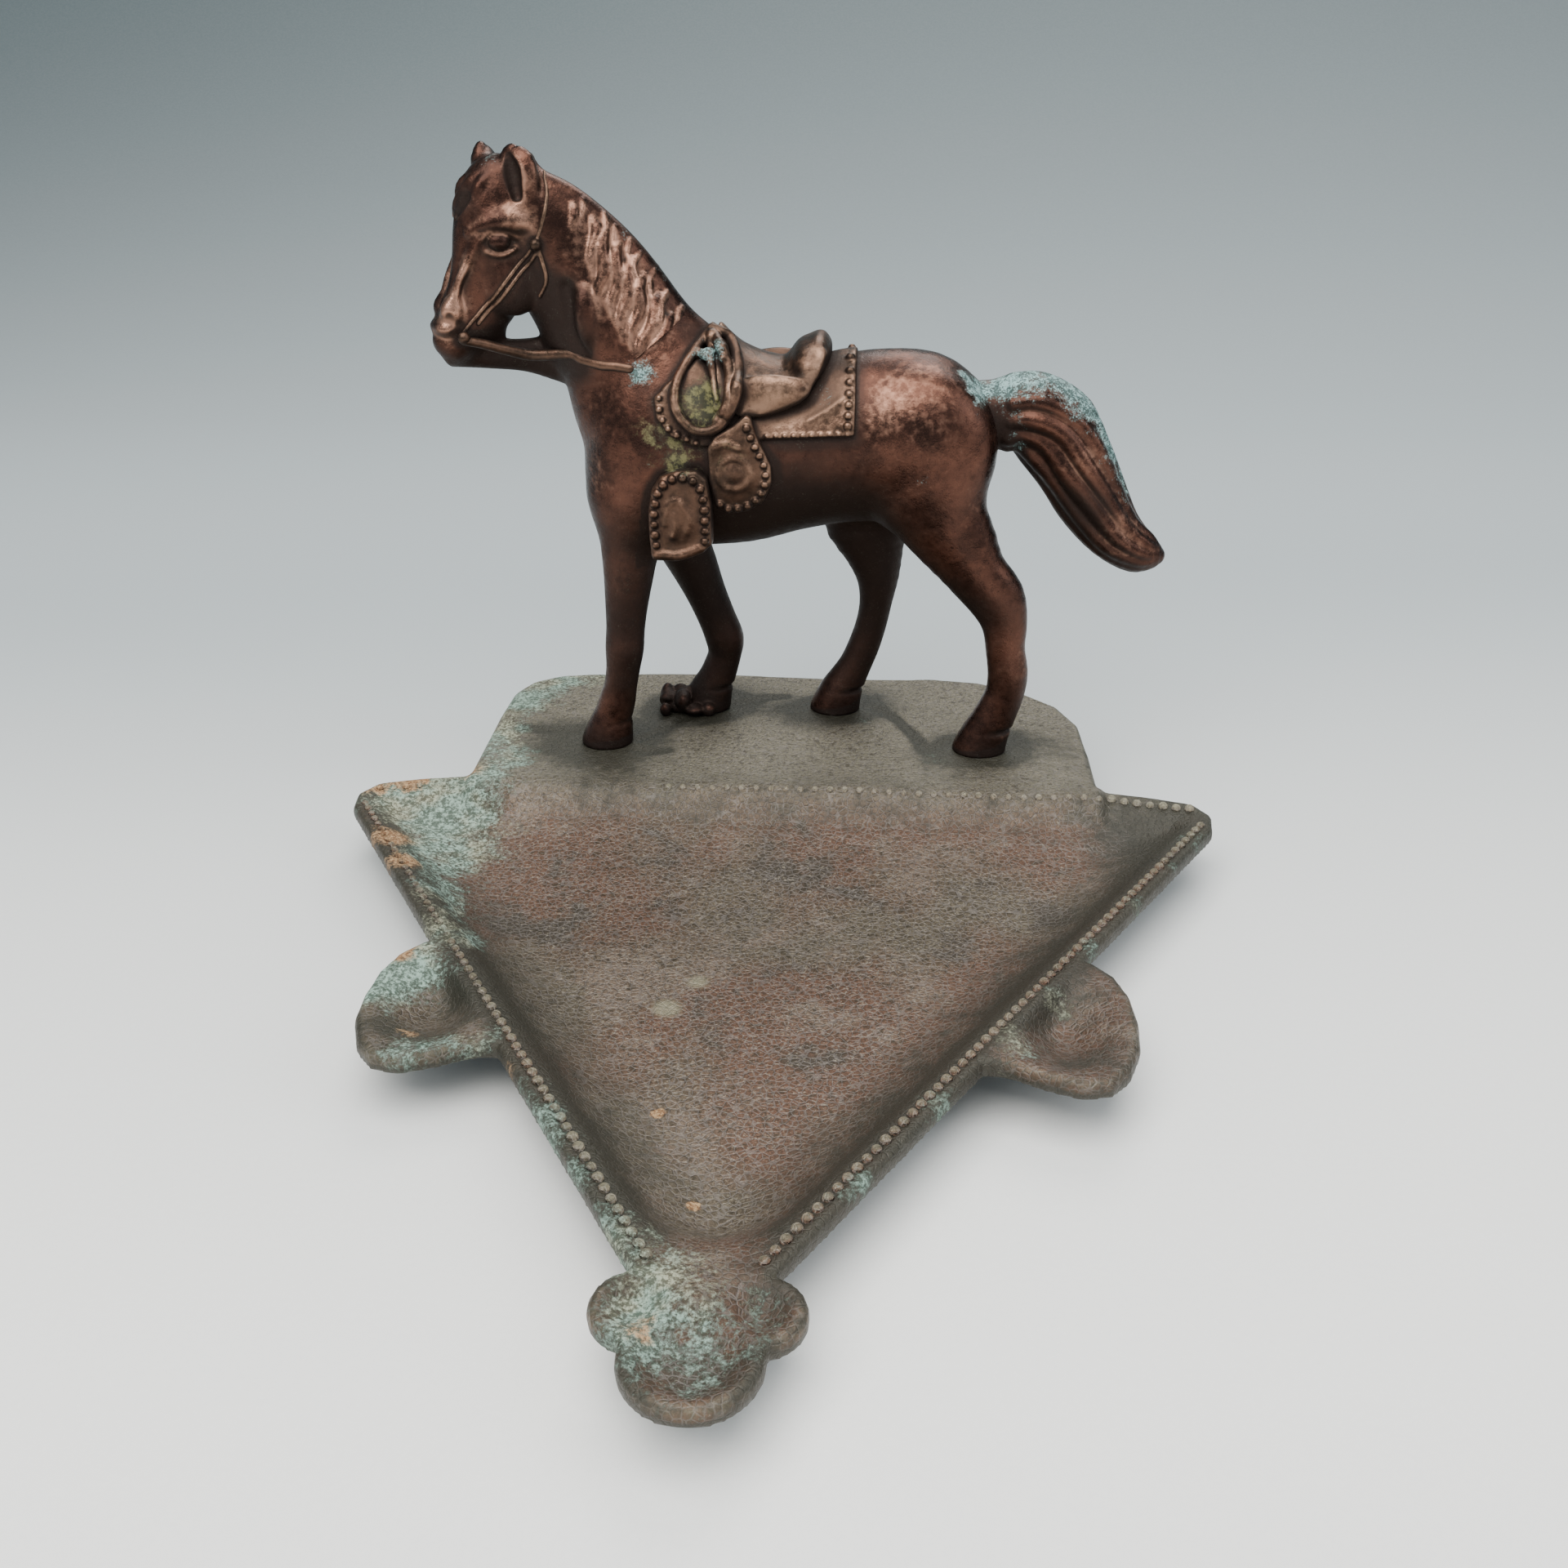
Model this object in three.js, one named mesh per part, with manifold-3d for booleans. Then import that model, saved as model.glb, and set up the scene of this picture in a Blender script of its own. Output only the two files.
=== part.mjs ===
// A saddled western horse figurine screwed to a shield-shaped ashtray, all in copper-plated cast metal.
// Millimetres, +Z up. The origin is on the flat underside of the tray's pan, on the tray's plane of symmetry.
// +Y runs from the trefoil at the front to the plinth at the back, and the horse faces -X.
import * as THREE from "three";
import { ConvexGeometry } from "three/addons/geometries/ConvexGeometry.js";
import { ParametricGeometry } from "three/addons/geometries/ParametricGeometry.js";
import { mergeVertices } from "three/addons/utils/BufferGeometryUtils.js";
import Module from "manifold-3d";

// Tray
const RIM_Z = 10.5; // top of the rim
const RIM_THICK = 2.7;
const FLOOR_Z = 3; // top of the pan's floor, so also its thickness
const NECK = [8.7, -74.6]; // where the straight side meets the trefoil
const BARB = [76.5, 35.8]; // outermost corner of the tray
const BARB_ROOT = [57.5, 47.5]; // where the barb's back edge meets the plinth
const REST_LOW = [33.6, -35]; // where a cigarette rest leaves the side, nearer the trefoil
const REST_HIGH = [49.8, -9]; // where it leaves the side, nearer the barb
const REST_CENTRE = [45.5, -24];
const PLINTH_Z = 12;
const PLINTH_HALF = 59.5;
const PLINTH_FRONT = 41;
const PLINTH_BACK = 95;
const PLINTH_CORNER = 20;
const PLINTH_WALL = 2.5;

// Horse
const MID_Y = 69.25; // the horse's own plane of symmetry
const STANCE = 8.75; // from there to the hooves' middles
const NEAR_Y = MID_Y - STANCE; // left legs, nearer the pan
const FAR_Y = MID_Y + STANCE; // right legs
const HEAD_TURN = THREE.MathUtils.degToRad(30); // the head looks to its left
const HEAD_PIVOT = [-50.3, MID_Y - 3.45]; // the vertical line that the head turns about
const WALL = 2.5; // wall of the hollow torso
const GAP = 0.3; // clearance between neighbouring castings
const SOLE_Z = PLINTH_Z + GAP;

// Hoof screws
const SHANK_R = 1.1;
const SHANK_HOLE_R = 1.5;
const SCREW_HEAD_R = 2.8;
const SCREW_HEAD_H = 1.6;
const SCREW_DEPTH = 7; // how far the shank reaches up into the hoof

const wasm = await Module();
wasm.setup();

const copper = (color, roughness) =>
  new THREE.MeshStandardMaterial({ color, roughness, metalness: 0.9 });
const bodyCopper = copper(0x5a3226, 0.38);
const reliefCopper = copper(0x7a5442, 0.48);
const trayBronze = copper(0x6b5a4c, 0.6);
const steel = new THREE.MeshStandardMaterial({ color: 0x8c8c88, roughness: 0.4, metalness: 1 });

// ---- Solids --------------------------------------------------------------------------------

function solid(geometry) {
  const bare = geometry.clone();
  bare.deleteAttribute("normal");
  bare.deleteAttribute("uv");
  const merged = mergeVertices(bare, 1e-4);
  return new wasm.Manifold(
    new wasm.Mesh({
      numProp: 3,
      vertProperties: new Float32Array(merged.attributes.position.array),
      triVerts: new Uint32Array(merged.index.array),
    }),
  );
}

function mesh(name, made, material) {
  const { numProp, numVert, vertProperties, triVerts } = made.getMesh();
  const position = new Float32Array(numVert * 3);
  for (let i = 0; i < numVert; i++)
    position.set(vertProperties.subarray(i * numProp, i * numProp + 3), i * 3);
  const geometry = new THREE.BufferGeometry();
  geometry.setAttribute("position", new THREE.BufferAttribute(position, 3));
  geometry.setIndex(new THREE.BufferAttribute(triVerts, 1));
  geometry.computeVertexNormals();
  const node = new THREE.Mesh(geometry, material);
  node.name = name;
  return node;
}

const union = (first, ...rest) => rest.reduce((sum, part) => sum.add(part), first);

// A slab of an outline in the XY plane, from z0 up to z1.
function slab(outline, z0, z1) {
  const shape = outline instanceof THREE.Shape ? outline : shapeOf(outline);
  const geometry = new THREE.ExtrudeGeometry(shape, {
    depth: z1 - z0,
    bevelEnabled: false,
    curveSegments: 6,
  });
  return solid(geometry.translate(0, 0, z0));
}

// A slab of a side-view outline, given in X and Z, between two values of Y.
function sideSlab(outline, y0, y1) {
  const geometry = new THREE.ExtrudeGeometry(shapeOf(outline), {
    depth: y1 - y0,
    bevelEnabled: false,
  });
  return solid(geometry.rotateX(Math.PI / 2).translate(0, y1, 0));
}

const shapeOf = (points) => new THREE.Shape(points.map(([x, y]) => new THREE.Vector2(x, y)));
const hull = (points) => solid(new ConvexGeometry(points.map((p) => new THREE.Vector3(...p))));

function ball(centre, radii) {
  const geometry = new THREE.SphereGeometry(1, 20, 12);
  return solid(geometry.scale(...radii).translate(...centre));
}

// A round bar standing on z0.
function bar(x, y, z0, z1, radius) {
  const geometry = new THREE.CylinderGeometry(radius, radius, z1 - z0, 16);
  return solid(geometry.rotateX(Math.PI / 2).translate(x, y, (z0 + z1) / 2));
}

// A closed tube of elliptical rings along a smooth spine. A station is [x, y, z, inPlane, lateral]:
// lateral is the ring's half-width along side, and inPlane is its half-width across side and spine.
// grow moves the whole surface out, or in where it is negative.
function loft(stations, grow = 0, { side = [0, 1, 0], around = 18, along = 2 } = {}) {
  const spine = new THREE.CatmullRomCurve3(stations.map(([x, y, z]) => new THREE.Vector3(x, y, z)));
  const radii = new THREE.CatmullRomCurve3(
    stations.map(([, , , inPlane, lateral]) => new THREE.Vector3(inPlane, lateral, 0)),
  );
  const rings = (stations.length - 1) * along;
  const sideways = new THREE.Vector3(...side);
  const ring = (u, v, target) => {
    const row = Math.round(v * (rings + 2));
    const t = THREE.MathUtils.clamp((row - 1) / rings, 0, 1);
    const tangent = spine.getTangent(t);
    const lateral = sideways.clone().addScaledVector(tangent, -sideways.dot(tangent)).normalize();
    const inPlane = tangent.clone().cross(lateral);
    const radius = radii.getPoint(t);
    const open = row === 0 || row === rings + 2 ? 0 : 1;
    const push = row <= 1 ? -grow : row > rings ? grow : 0;
    target
      .copy(spine.getPoint(t))
      .addScaledVector(tangent, push)
      .addScaledVector(inPlane, open * (radius.x + grow) * Math.cos(2 * Math.PI * u))
      .addScaledVector(lateral, -open * (radius.y + grow) * Math.sin(2 * Math.PI * u));
  };
  return solid(new ParametricGeometry(ring, around, rings + 2));
}

// ---- Tray ----------------------------------------------------------------------------------

// Points of an arc, from angle a0 to angle a1 in degrees.
function arc([x, y], radius, a0, a1, steps = 8) {
  return Array.from({ length: steps + 1 }, (_, i) => {
    const a = THREE.MathUtils.degToRad(a0 + ((a1 - a0) * i) / steps);
    return [x + radius * Math.cos(a), y + radius * Math.sin(a)];
  });
}

// The right half of an outline, from the front to the back, with its mirror image.
const mirrored = (half) => [
  ...half,
  ...half
    .filter(([x]) => x > 0.01)
    .map(([x, y]) => [-x, y])
    .reverse(),
];

const restEdge = new THREE.SplineCurve(
  [
    REST_LOW,
    [39, -37.2],
    [44, -39],
    [49.3, -38.4],
    [54, -34],
    [56.3, -27],
    [56, -19.5],
    [53.4, -13],
    REST_HIGH,
  ].map(([x, y]) => new THREE.Vector2(x, y)),
);

function rimOutline() {
  return mirrored([
    ...arc([0, -87.6], 9, -90, 0, 6),
    ...arc([6.4, -81], 6.6, -62, 66, 6),
    NECK,
    ...restEdge.getPoints(16).map(({ x, y }) => [x, y]),
    ...arc([BARB[0] - 3.6, BARB[1] - 0.4], 3.6, -32, 66, 5),
    BARB_ROOT,
  ]);
}

function plinthOutline(inset) {
  const half = PLINTH_HALF - inset;
  const radius = PLINTH_CORNER - inset;
  const back = PLINTH_BACK - inset;
  const front = inset > 0 ? BARB_ROOT[1] + inset : PLINTH_FRONT;
  return mirrored([
    [BARB_ROOT[0] - inset, front],
    [half, BARB_ROOT[1] + 12],
    ...arc([half - radius, back - radius], radius, 0, 90, 6),
  ]);
}

// A basin: the hull of a convex outline at the floor and a larger one at the rim.
function basin(floor, floorZ, rim, rimZ) {
  const lift = (half, z) => mirrored(half).map(([x, y]) => [x, y, z]);
  return hull([...lift(floor, floorZ), ...lift(rim, rimZ)]);
}

// Right halves of the pan's outlines: the inside at the floor and the rim, and the outside below them.
const FLOOR_HALF = [[1.5, -63], [4, -61], [42, 4], [47, 20], [46, 36], [42, 40]];
const RIM_INNER_HALF = [[1.5, -73.5], [4, -72], [66, 27], [68.6, 34], [66, 38.5], [58, 44.6]];
const SOLE_HALF = [[1.5, -66], [5, -63], [45, 4], [50, 20], [49, 38], [45, 42]];
const PAN_OUTER_HALF = [[1.5, -77], [6, -75], [70, 27], [72.6, 34], [68, 40], [58, 46]];

// The raised strip that carries the rim's beads, from distance a to distance b along the side.
const STRIP_INSET = 2.7;
const STRIP_WIDTH = 1.7;
const STRIP_RISE = 0.8;
function beadStrip(a, b) {
  const along = new THREE.Vector2(BARB[0] - NECK[0], BARB[1] - 2.3 - NECK[1]).normalize();
  const across = new THREE.Vector2(-along.y, along.x).multiplyScalar(STRIP_INSET);
  const middle = (a + b) / 2;
  const geometry = new THREE.BoxGeometry(b - a, STRIP_WIDTH, 2 * STRIP_RISE);
  geometry.rotateZ(along.angle());
  geometry.translate(
    NECK[0] + along.x * middle + across.x,
    NECK[1] + along.y * middle + across.y,
    RIM_Z,
  );
  return solid(geometry);
}

// Both cigarette rests' balls: dished on top, or bulging underneath and cut off level with the rim.
const rests = (radii) =>
  union(...[-1, 1].map((side) => ball([side * REST_CENTRE[0], REST_CENTRE[1], RIM_Z], radii)));

function tray(hooves) {
  const strips = union(beadStrip(4, 44), beadStrip(80, 118));
  return union(
    slab(rimOutline(), RIM_Z - RIM_THICK, RIM_Z),
    basin(SOLE_HALF, 0, PAN_OUTER_HALF, RIM_Z - RIM_THICK + 0.5),
    slab(plinthOutline(0), 0, PLINTH_Z),
    rests([9.6, 12, 6]).trimByPlane([0, 0, -1], -RIM_Z),
    strips,
    strips.mirror([1, 0, 0]),
  )
    .subtract(basin(FLOOR_HALF, FLOOR_Z, RIM_INNER_HALF, RIM_Z + 2))
    .subtract(slab(plinthOutline(PLINTH_WALL), -1, PLINTH_Z - PLINTH_WALL))
    .subtract(rests([8.2, 10.6, 3.2]))
    .subtract(union(...hooves.map(([x, y]) => bar(x, y, 0, PLINTH_Z + 1, SHANK_HOLE_R))));
}

// ---- Horse ---------------------------------------------------------------------------------

// Vertical rings from the chest to the buttocks.
const TORSO = [
  [-37.4, 8, 65.5, 6],
  [-35.4, 12, 65.5, 9.5],
  [-30.5, 15.6, 66, 12.4],
  [-23, 18.2, 66.6, 13.4],
  [-14, 16.8, 65.6, 13.6],
  [-5, 15, 65.4, 13.6],
  [4, 14, 66.6, 13.4],
  [13, 15.3, 68.1, 13.6],
  [21, 16, 68.2, 13.8],
  [28, 15, 67.2, 13],
  [33.5, 12.6, 66.6, 10.6],
  [37.4, 7.6, 66, 6],
].map(([x, inPlane, z, lateral]) => [x, MID_Y, z, inPlane, lateral]);

const NECK_CASTING = [
  [-25, MID_Y, 79.5, 13, 10],
  [-28.4, MID_Y, 85, 12.6, 9.4],
  [-32.3, MID_Y, 92.6, 11, 8.2],
  [-37, MID_Y, 100.4, 9.6, 7],
  [-41.8, MID_Y - 0.6, 106, 8, 6.2],
  [-44.6, MID_Y - 1.2, 109, 6, 5],
];

const MANE = [
  [-16, MID_Y, 88, 2.4, 2],
  [-22.4, MID_Y, 96.4, 2.8, 2.4],
  [-29.6, MID_Y, 104, 2.8, 2.4],
  [-37.6, MID_Y, 109.8, 2.6, 2.4],
  [-43, MID_Y, 112, 1.8, 2],
];

// A point of the head: forward of its pivot, towards its left side, and up.
const HEAD_FORWARD = [-Math.cos(HEAD_TURN), -Math.sin(HEAD_TURN), 0];
const HEAD_SIDE = [Math.sin(HEAD_TURN), -Math.cos(HEAD_TURN), 0];
const onHead = (forward, left, up) => [
  HEAD_PIVOT[0] + forward * HEAD_FORWARD[0] + left * HEAD_SIDE[0],
  HEAD_PIVOT[1] + forward * HEAD_FORWARD[1] + left * HEAD_SIDE[1],
  up,
];

const HEAD_CASTING = [
  [-2.8, 113.4, 3.6, 4],
  [-2.2, 110.6, 6.2, 5.6],
  [-1.4, 105, 7.2, 6.2],
  [-0.4, 99, 7.2, 5.6],
  [1.8, 93, 6.6, 4.6],
  [5.2, 88.4, 5.2, 3.9],
  [7.2, 85, 3.6, 3.3],
  [7.4, 82.8, 1.8, 2],
].map(([forward, up, inPlane, lateral]) => [...onHead(forward, 0, up), inPlane, lateral]);

const TAIL_CASTING = [
  [33, MID_Y, 73, 4.2, 4],
  [37.5, MID_Y, 74.2, 5.2, 4.6],
  [42.2, MID_Y, 74, 6.4, 5.2],
  [47.2, MID_Y, 70.4, 6.9, 5.6],
  [51.3, MID_Y, 64.4, 7, 5.8],
  [54.8, MID_Y, 57.8, 7, 5.8],
  [58.8, MID_Y, 51.6, 6.4, 5.2],
  [63.6, MID_Y, 48, 4.6, 4],
  [67.6, MID_Y, 47.2, 2.2, 2.2],
];

// Each leg from inside the torso down to the hoof: [x, z, inPlane, lateral] stations.
const LEGS = {
  front_left: {
    y: NEAR_Y,
    top: NEAR_Y + 1.8,
    stations: [
      [-28.2, 56, 6.4, 4.8],
      [-28.3, 50, 5.6, 4.6],
      [-28.6, 44.6, 4.7, 4.2],
      [-29.3, 38, 4, 3.7],
      [-30, 30.4, 3.4, 3.3],
      [-30.6, 25, 3.6, 3.5],
      [-31.8, 20.4, 3.4, 3.3],
      [-33.2, 16, 4.2, 3.9],
      [-33.6, SOLE_Z, 4.9, 4.5],
    ],
  },
  front_right: {
    y: FAR_Y,
    top: FAR_Y - 1.8,
    stations: [
      [-23, 56, 6.2, 4.8],
      [-21.4, 48.6, 5.6, 4.4],
      [-18.6, 41.4, 4.7, 4],
      [-16.2, 35.4, 4, 3.6],
      [-14.2, 29.6, 3.7, 3.4],
      [-13.2, 26, 3.9, 3.5],
      [-13.8, 21.4, 3.4, 3.2],
      [-15.8, 16.6, 4.3, 3.8],
      [-16.8, SOLE_Z, 4.9, 4.4],
    ],
  },
  hind_left: {
    y: NEAR_Y,
    top: NEAR_Y + 1.4,
    stations: [
      [26, 60, 9.6, 5.4],
      [30.4, 50.6, 7.8, 5],
      [35.2, 44.2, 5.6, 4.3],
      [38.6, 39, 4.1, 3.6],
      [40.2, 33.6, 3.6, 3.3],
      [40.9, 27.6, 3.8, 3.4],
      [40.3, 22.4, 3.8, 3.4],
      [38, 17, 4.3, 3.8],
      [36.6, SOLE_Z, 5, 4.5],
    ],
  },
  hind_right: {
    y: FAR_Y,
    top: FAR_Y - 1.4,
    stations: [
      [18.6, 60, 8.6, 5.4],
      [16.8, 50.6, 7, 5],
      [16.4, 43, 5.1, 4.2],
      [16.4, 38, 3.8, 3.5],
      [15.9, 33, 3.1, 3.1],
      [15, 27.4, 3.2, 3.2],
      [12.8, 21.4, 3.3, 3.2],
      [10, 16.6, 4.2, 3.8],
      [8.8, SOLE_Z, 4.8, 4.4],
    ],
  },
};

const torso = (grow) => loft(TORSO, grow, { around: 20, along: 1 });
const torsoFit = torso(GAP);

// Pegs on the castings that plug into the torso: each is a short bar along a line.
function peg(from, to, radius) {
  const along = new THREE.Vector3(...to).sub(new THREE.Vector3(...from));
  const geometry = new THREE.CylinderGeometry(radius, radius, along.length(), 12);
  const turn = new THREE.Quaternion();
  turn.setFromUnitVectors(new THREE.Vector3(0, 1, 0), along.clone().normalize());
  geometry.applyQuaternion(turn);
  const middle = new THREE.Vector3(...from).addScaledVector(along, 0.5);
  return solid(geometry.translate(...middle));
}

const PEGS = {
  neck: [[-29.5, MID_Y, 86], [-23.5, MID_Y, 75], 4],
  tail: [[40, MID_Y, 74.2], [30, MID_Y, 72.6], 2.4],
  front_left: [[-28.6, MID_Y - 7, 45], [-28, MID_Y - 5.6, 58], 2.4],
  front_right: [[-20.6, MID_Y + 7, 45], [-22.6, MID_Y + 5.6, 58], 2.4],
  hind_left: [[31, MID_Y - 7.4, 49], [26.4, MID_Y - 5.4, 60], 2.4],
  hind_right: [[16.6, MID_Y + 7.4, 47], [18, MID_Y + 5.4, 60], 2.4],
};
const pegOf = (name, grow = 0) => peg(PEGS[name][0], PEGS[name][1], PEGS[name][2] + grow);

// One half of the hollow torso, cast as two shells that meet on the horse's plane of symmetry.
function torsoShell(sign) {
  const sockets = Object.keys(PEGS).map((name) => pegOf(name, GAP));
  const inner = MID_Y + sign * (GAP / 2);
  const outer = MID_Y + sign * 40;
  const half = sideSlab(
    [[-60, 30], [60, 30], [60, 110], [-60, 110]],
    Math.min(inner, outer),
    Math.max(inner, outer),
  );
  return torso(0).subtract(torso(-WALL)).subtract(union(...sockets)).intersect(half);
}

function leg(name) {
  const { y, top, stations } = LEGS[name];
  const count = stations.length - 1;
  const spine = stations.map(([x, z, inPlane, lateral], i) => [
    x,
    i < 2 ? top : THREE.MathUtils.lerp(top, y, Math.min(1, (i - 1) / (count - 4))),
    z,
    inPlane,
    lateral,
  ]);
  const [x, z] = stations[count];
  return loft(spine, 0, { around: 14, along: 1 })
    .subtract(torsoFit)
    .add(pegOf(name))
    .trimByPlane([0, 0, 1], SOLE_Z)
    .subtract(bar(x, y, z - 1, z + SCREW_DEPTH + 1, SHANK_HOLE_R));
}

const headLoft = (grow) => loft(HEAD_CASTING, grow, { side: HEAD_SIDE, around: 16 });

// An ear is a leaf-shaped loft from the poll to its tip.
const ear = (base, tip) => {
  const at = (t) => base.map((value, i) => value + (tip[i] - value) * t);
  return loft(
    [
      [...at(-0.1), 1.8, 1.6],
      [...at(0.3), 2.2, 1.6],
      [...at(0.7), 1.7, 1.2],
      [...at(1), 0.5, 0.5],
    ],
    0,
    { around: 10, side: HEAD_SIDE },
  );
};

function head() {
  const ears = [1, -1].map((side) => ear(onHead(-4.4, side * 3.8, 109.6), onHead(-3, side * 3.6, 117.8)));
  return union(headLoft(0), ...ears).subtract(peg(...BIT_ENDS, BIT_R + GAP));
}

const earFit = union(
  ...[1, -1].map((side) => ball(onHead(-4.2, side * 3.7, 112.6), [3.4, 3.4, 6])),
);

const neckLoft = (grow) =>
  union(loft(NECK_CASTING, grow), loft(MANE, grow, { around: 10 }));
const neckFit = neckLoft(GAP);
const neck = () =>
  neckLoft(0).subtract(headLoft(GAP)).subtract(earFit).subtract(torsoFit).add(pegOf("neck"));

const tail = () => loft(TAIL_CASTING).subtract(torsoFit).add(pegOf("tail"));

// ---- Saddle and tack -----------------------------------------------------------------------

const BIT_ENDS = [onHead(6.4, 5.2, 87.8), onHead(6.4, -5.2, 87.8)];
const BIT_R = 0.8;
const LEFT = [MID_Y - 30, MID_Y - 5];
const RIGHT = [MID_Y + 5, MID_Y + 30];

// Blanket: a skin 1 mm thick over the back, cut to its side-view outline.
const BLANKET = [[-20.6, 78], [-19, 73.4], [-14.6, 71.8], [11.8, 72.2], [11.8, 95], [-20.6, 95]];
const blanket = () =>
  torso(1.3)
    .intersect(sideSlab(BLANKET, MID_Y - 30, MID_Y + 30))
    .subtract(torsoFit)
    .subtract(neckFit);
const blanketFit = torso(1.6).intersect(
  sideSlab(BLANKET.map(([x, z]) => [x * 1.02, z - 0.4]), MID_Y - 30, MID_Y + 30),
);

// Seat, pommel and cantle, rounded off over the back.
function saddle() {
  const profile = [
    [-16, 78], [-9, 75.8], [-3, 75.8], [2, 78], [6, 82.4], [7.4, 86], [5.6, 87.8],
    [3.6, 86.6], [0.6, 84.6], [-3.4, 83.7], [-7, 84.8], [-10, 88.2], [-13, 89.2], [-15.6, 88],
  ];
  const rounding = loft(
    [
      [-17, MID_Y, 76, 14, 10],
      [-10, MID_Y, 76, 14.4, 11.4],
      [0, MID_Y, 76, 14.4, 11.6],
      [9, MID_Y, 76, 14, 10.8],
    ],
    2,
  );
  return sideSlab(profile, MID_Y - 16, MID_Y + 16)
    .intersect(rounding)
    .subtract(blanketFit)
    .subtract(torsoFit)
    .subtract(neckFit);
}

// A plate laid on the horse's side: the outline's prism between the torso and its own thickness.
function sidePlate(outline, [y0, y1], thick) {
  return torso(thick)
    .intersect(sideSlab(outline, y0, y1))
    .subtract(torsoFit)
    .subtract(blanketFit);
}

const FENDER = [
  [-9.4, 75.2], [-12, 71.4], [-12.2, 65], [-11, 60.6], [-7, 59.2], [-3.6, 61.6],
  [-1.8, 65.6], [-2.6, 69.8], [-4.6, 75.2],
];
const TAPADERO = [
  [-22.8, 50], [-12.5, 50], [-12.2, 57], [-12.6, 59.2], [-14.4, 64.6], [-17.4, 65.9],
  [-20.4, 64.6], [-22.2, 61], [-22.8, 57],
];

// Room for the fenders and for the top of a front leg.
const fenderFit = sideSlab(
  FENDER.map(([x, z]) => [(x + 7) * 1.08 - 7, (z - 66) * 1.06 + 66]),
  MID_Y - 30,
  MID_Y + 30,
);
const legFit = (name) => {
  const { top, stations } = LEGS[name];
  const upper = stations.slice(0, 4).map(([x, z, inPlane, lateral]) => [x, top, z, inPlane, lateral]);
  return loft(upper, 0.8, { around: 14, along: 1 });
};

// The hooded stirrup hangs straight down, so its outer face is flat and its back follows the horse.
const tapadero = ([y0, y1], legName) =>
  sideSlab(TAPADERO, y0, y1)
    .subtract(torsoFit)
    .subtract(legFit(legName))
    .subtract(fenderFit);

// Two turns of rope hung from the pommel, on the left side only.
function lariat() {
  const turn = (x, z, wide, tall, lean) => {
    const geometry = new THREE.TorusGeometry(1, 0.2, 8, 24);
    geometry.scale(wide, tall, 6);
    geometry.rotateX(Math.PI / 2 + lean);
    return solid(geometry.translate(x, MID_Y - 16.9, z));
  };
  return union(turn(-13.2, 81, 5, 7.2, 0.2), turn(-12, 81.6, 4.3, 6.6, 0.24));
}

// The straight band that a strap on the head lies in: it runs through the head from side to side,
// between two points given forward of the pivot and up.
function strapBand([forward0, up0], [forward1, up1], width) {
  const from = new THREE.Vector3(...onHead(forward0, 0, up0));
  const along = new THREE.Vector3(...onHead(forward1, 0, up1)).sub(from);
  const geometry = new THREE.BoxGeometry(along.length() + width, 40, width);
  const x = along.clone().normalize();
  const y = new THREE.Vector3(...HEAD_SIDE);
  geometry.applyMatrix4(new THREE.Matrix4().makeBasis(x, y, x.clone().cross(y)));
  return solid(geometry.translate(...from.addScaledVector(along, 0.5)));
}

// Headstall: crownpiece, cheekpieces and throatlatch, all meeting below the ears.
const BUCKLE = [-5.6, 102.4];
const STRAP_WIDTH = 1.5;
const STRAP_THICK = 0.9;
function headstall() {
  const bands = union(
    strapBand(BUCKLE, [-10.6, 119], STRAP_WIDTH),
    strapBand(BUCKLE, [4.6, 90.4], STRAP_WIDTH),
    strapBand(BUCKLE, [-2.6, 90], STRAP_WIDTH),
  );
  return union(headLoft(GAP + STRAP_THICK), neckLoft(GAP + STRAP_THICK))
    .intersect(bands)
    .subtract(headLoft(GAP))
    .subtract(neckFit)
    .subtract(earFit);
}

const bit = () => peg(...BIT_ENDS, BIT_R);

// Both reins are one casting: a web from the chin to the chest that parts into two straps.
function reins() {
  const web = loft(
    [
      [-57.6, MID_Y - 7.4, 79.8, 1.4, 2.6],
      [-54, MID_Y - 5.6, 81, 2.2, 3.8],
      [-47, MID_Y - 2.8, 81.6, 2.4, 4.8],
      [-40.8, MID_Y - 1, 81.2, 2.4, 6],
      [-36.4, MID_Y, 81, 2.2, 7.4],
    ],
    0,
    { around: 12 },
  );
  const strap = (sign) =>
    loft(
      [
        [-40, MID_Y + sign * 5.2, 81.3, 1.7, 1.6],
        [-34, MID_Y + sign * 9.6, 81.8, 1.7, 1.4],
        [-28, MID_Y + sign * 11.2, 82.2, 1.6, 1.3],
        [-23.4, MID_Y + sign * 11.4, 82.6, 1.2, 1.2],
      ],
      0,
      { around: 10 },
    );
  return union(web, strap(-1), strap(1))
    .subtract(neckFit)
    .subtract(torsoFit)
    .subtract(headLoft(GAP))
    .subtract(blanketFit);
}

// ---- Screws --------------------------------------------------------------------------------

// A pan-head machine screw, put in from under the plinth.
function hoofScrew([x, y]) {
  const headTop = PLINTH_Z - PLINTH_WALL - GAP;
  const slot = new THREE.BoxGeometry(2 * SCREW_HEAD_R + 1, 0.8, 1.2);
  return union(
    bar(x, y, headTop - SCREW_HEAD_H, headTop, SCREW_HEAD_R),
    bar(x, y, headTop - 0.2, SOLE_Z + SCREW_DEPTH, SHANK_R),
  ).subtract(solid(slot.translate(x, y, headTop - SCREW_HEAD_H)));
}

// ---- Assembly ------------------------------------------------------------------------------

const hooves = Object.entries(LEGS).map(([name, { y, stations }]) => {
  const [x] = stations[stations.length - 1];
  return { name, at: [x, y] };
});

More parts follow.
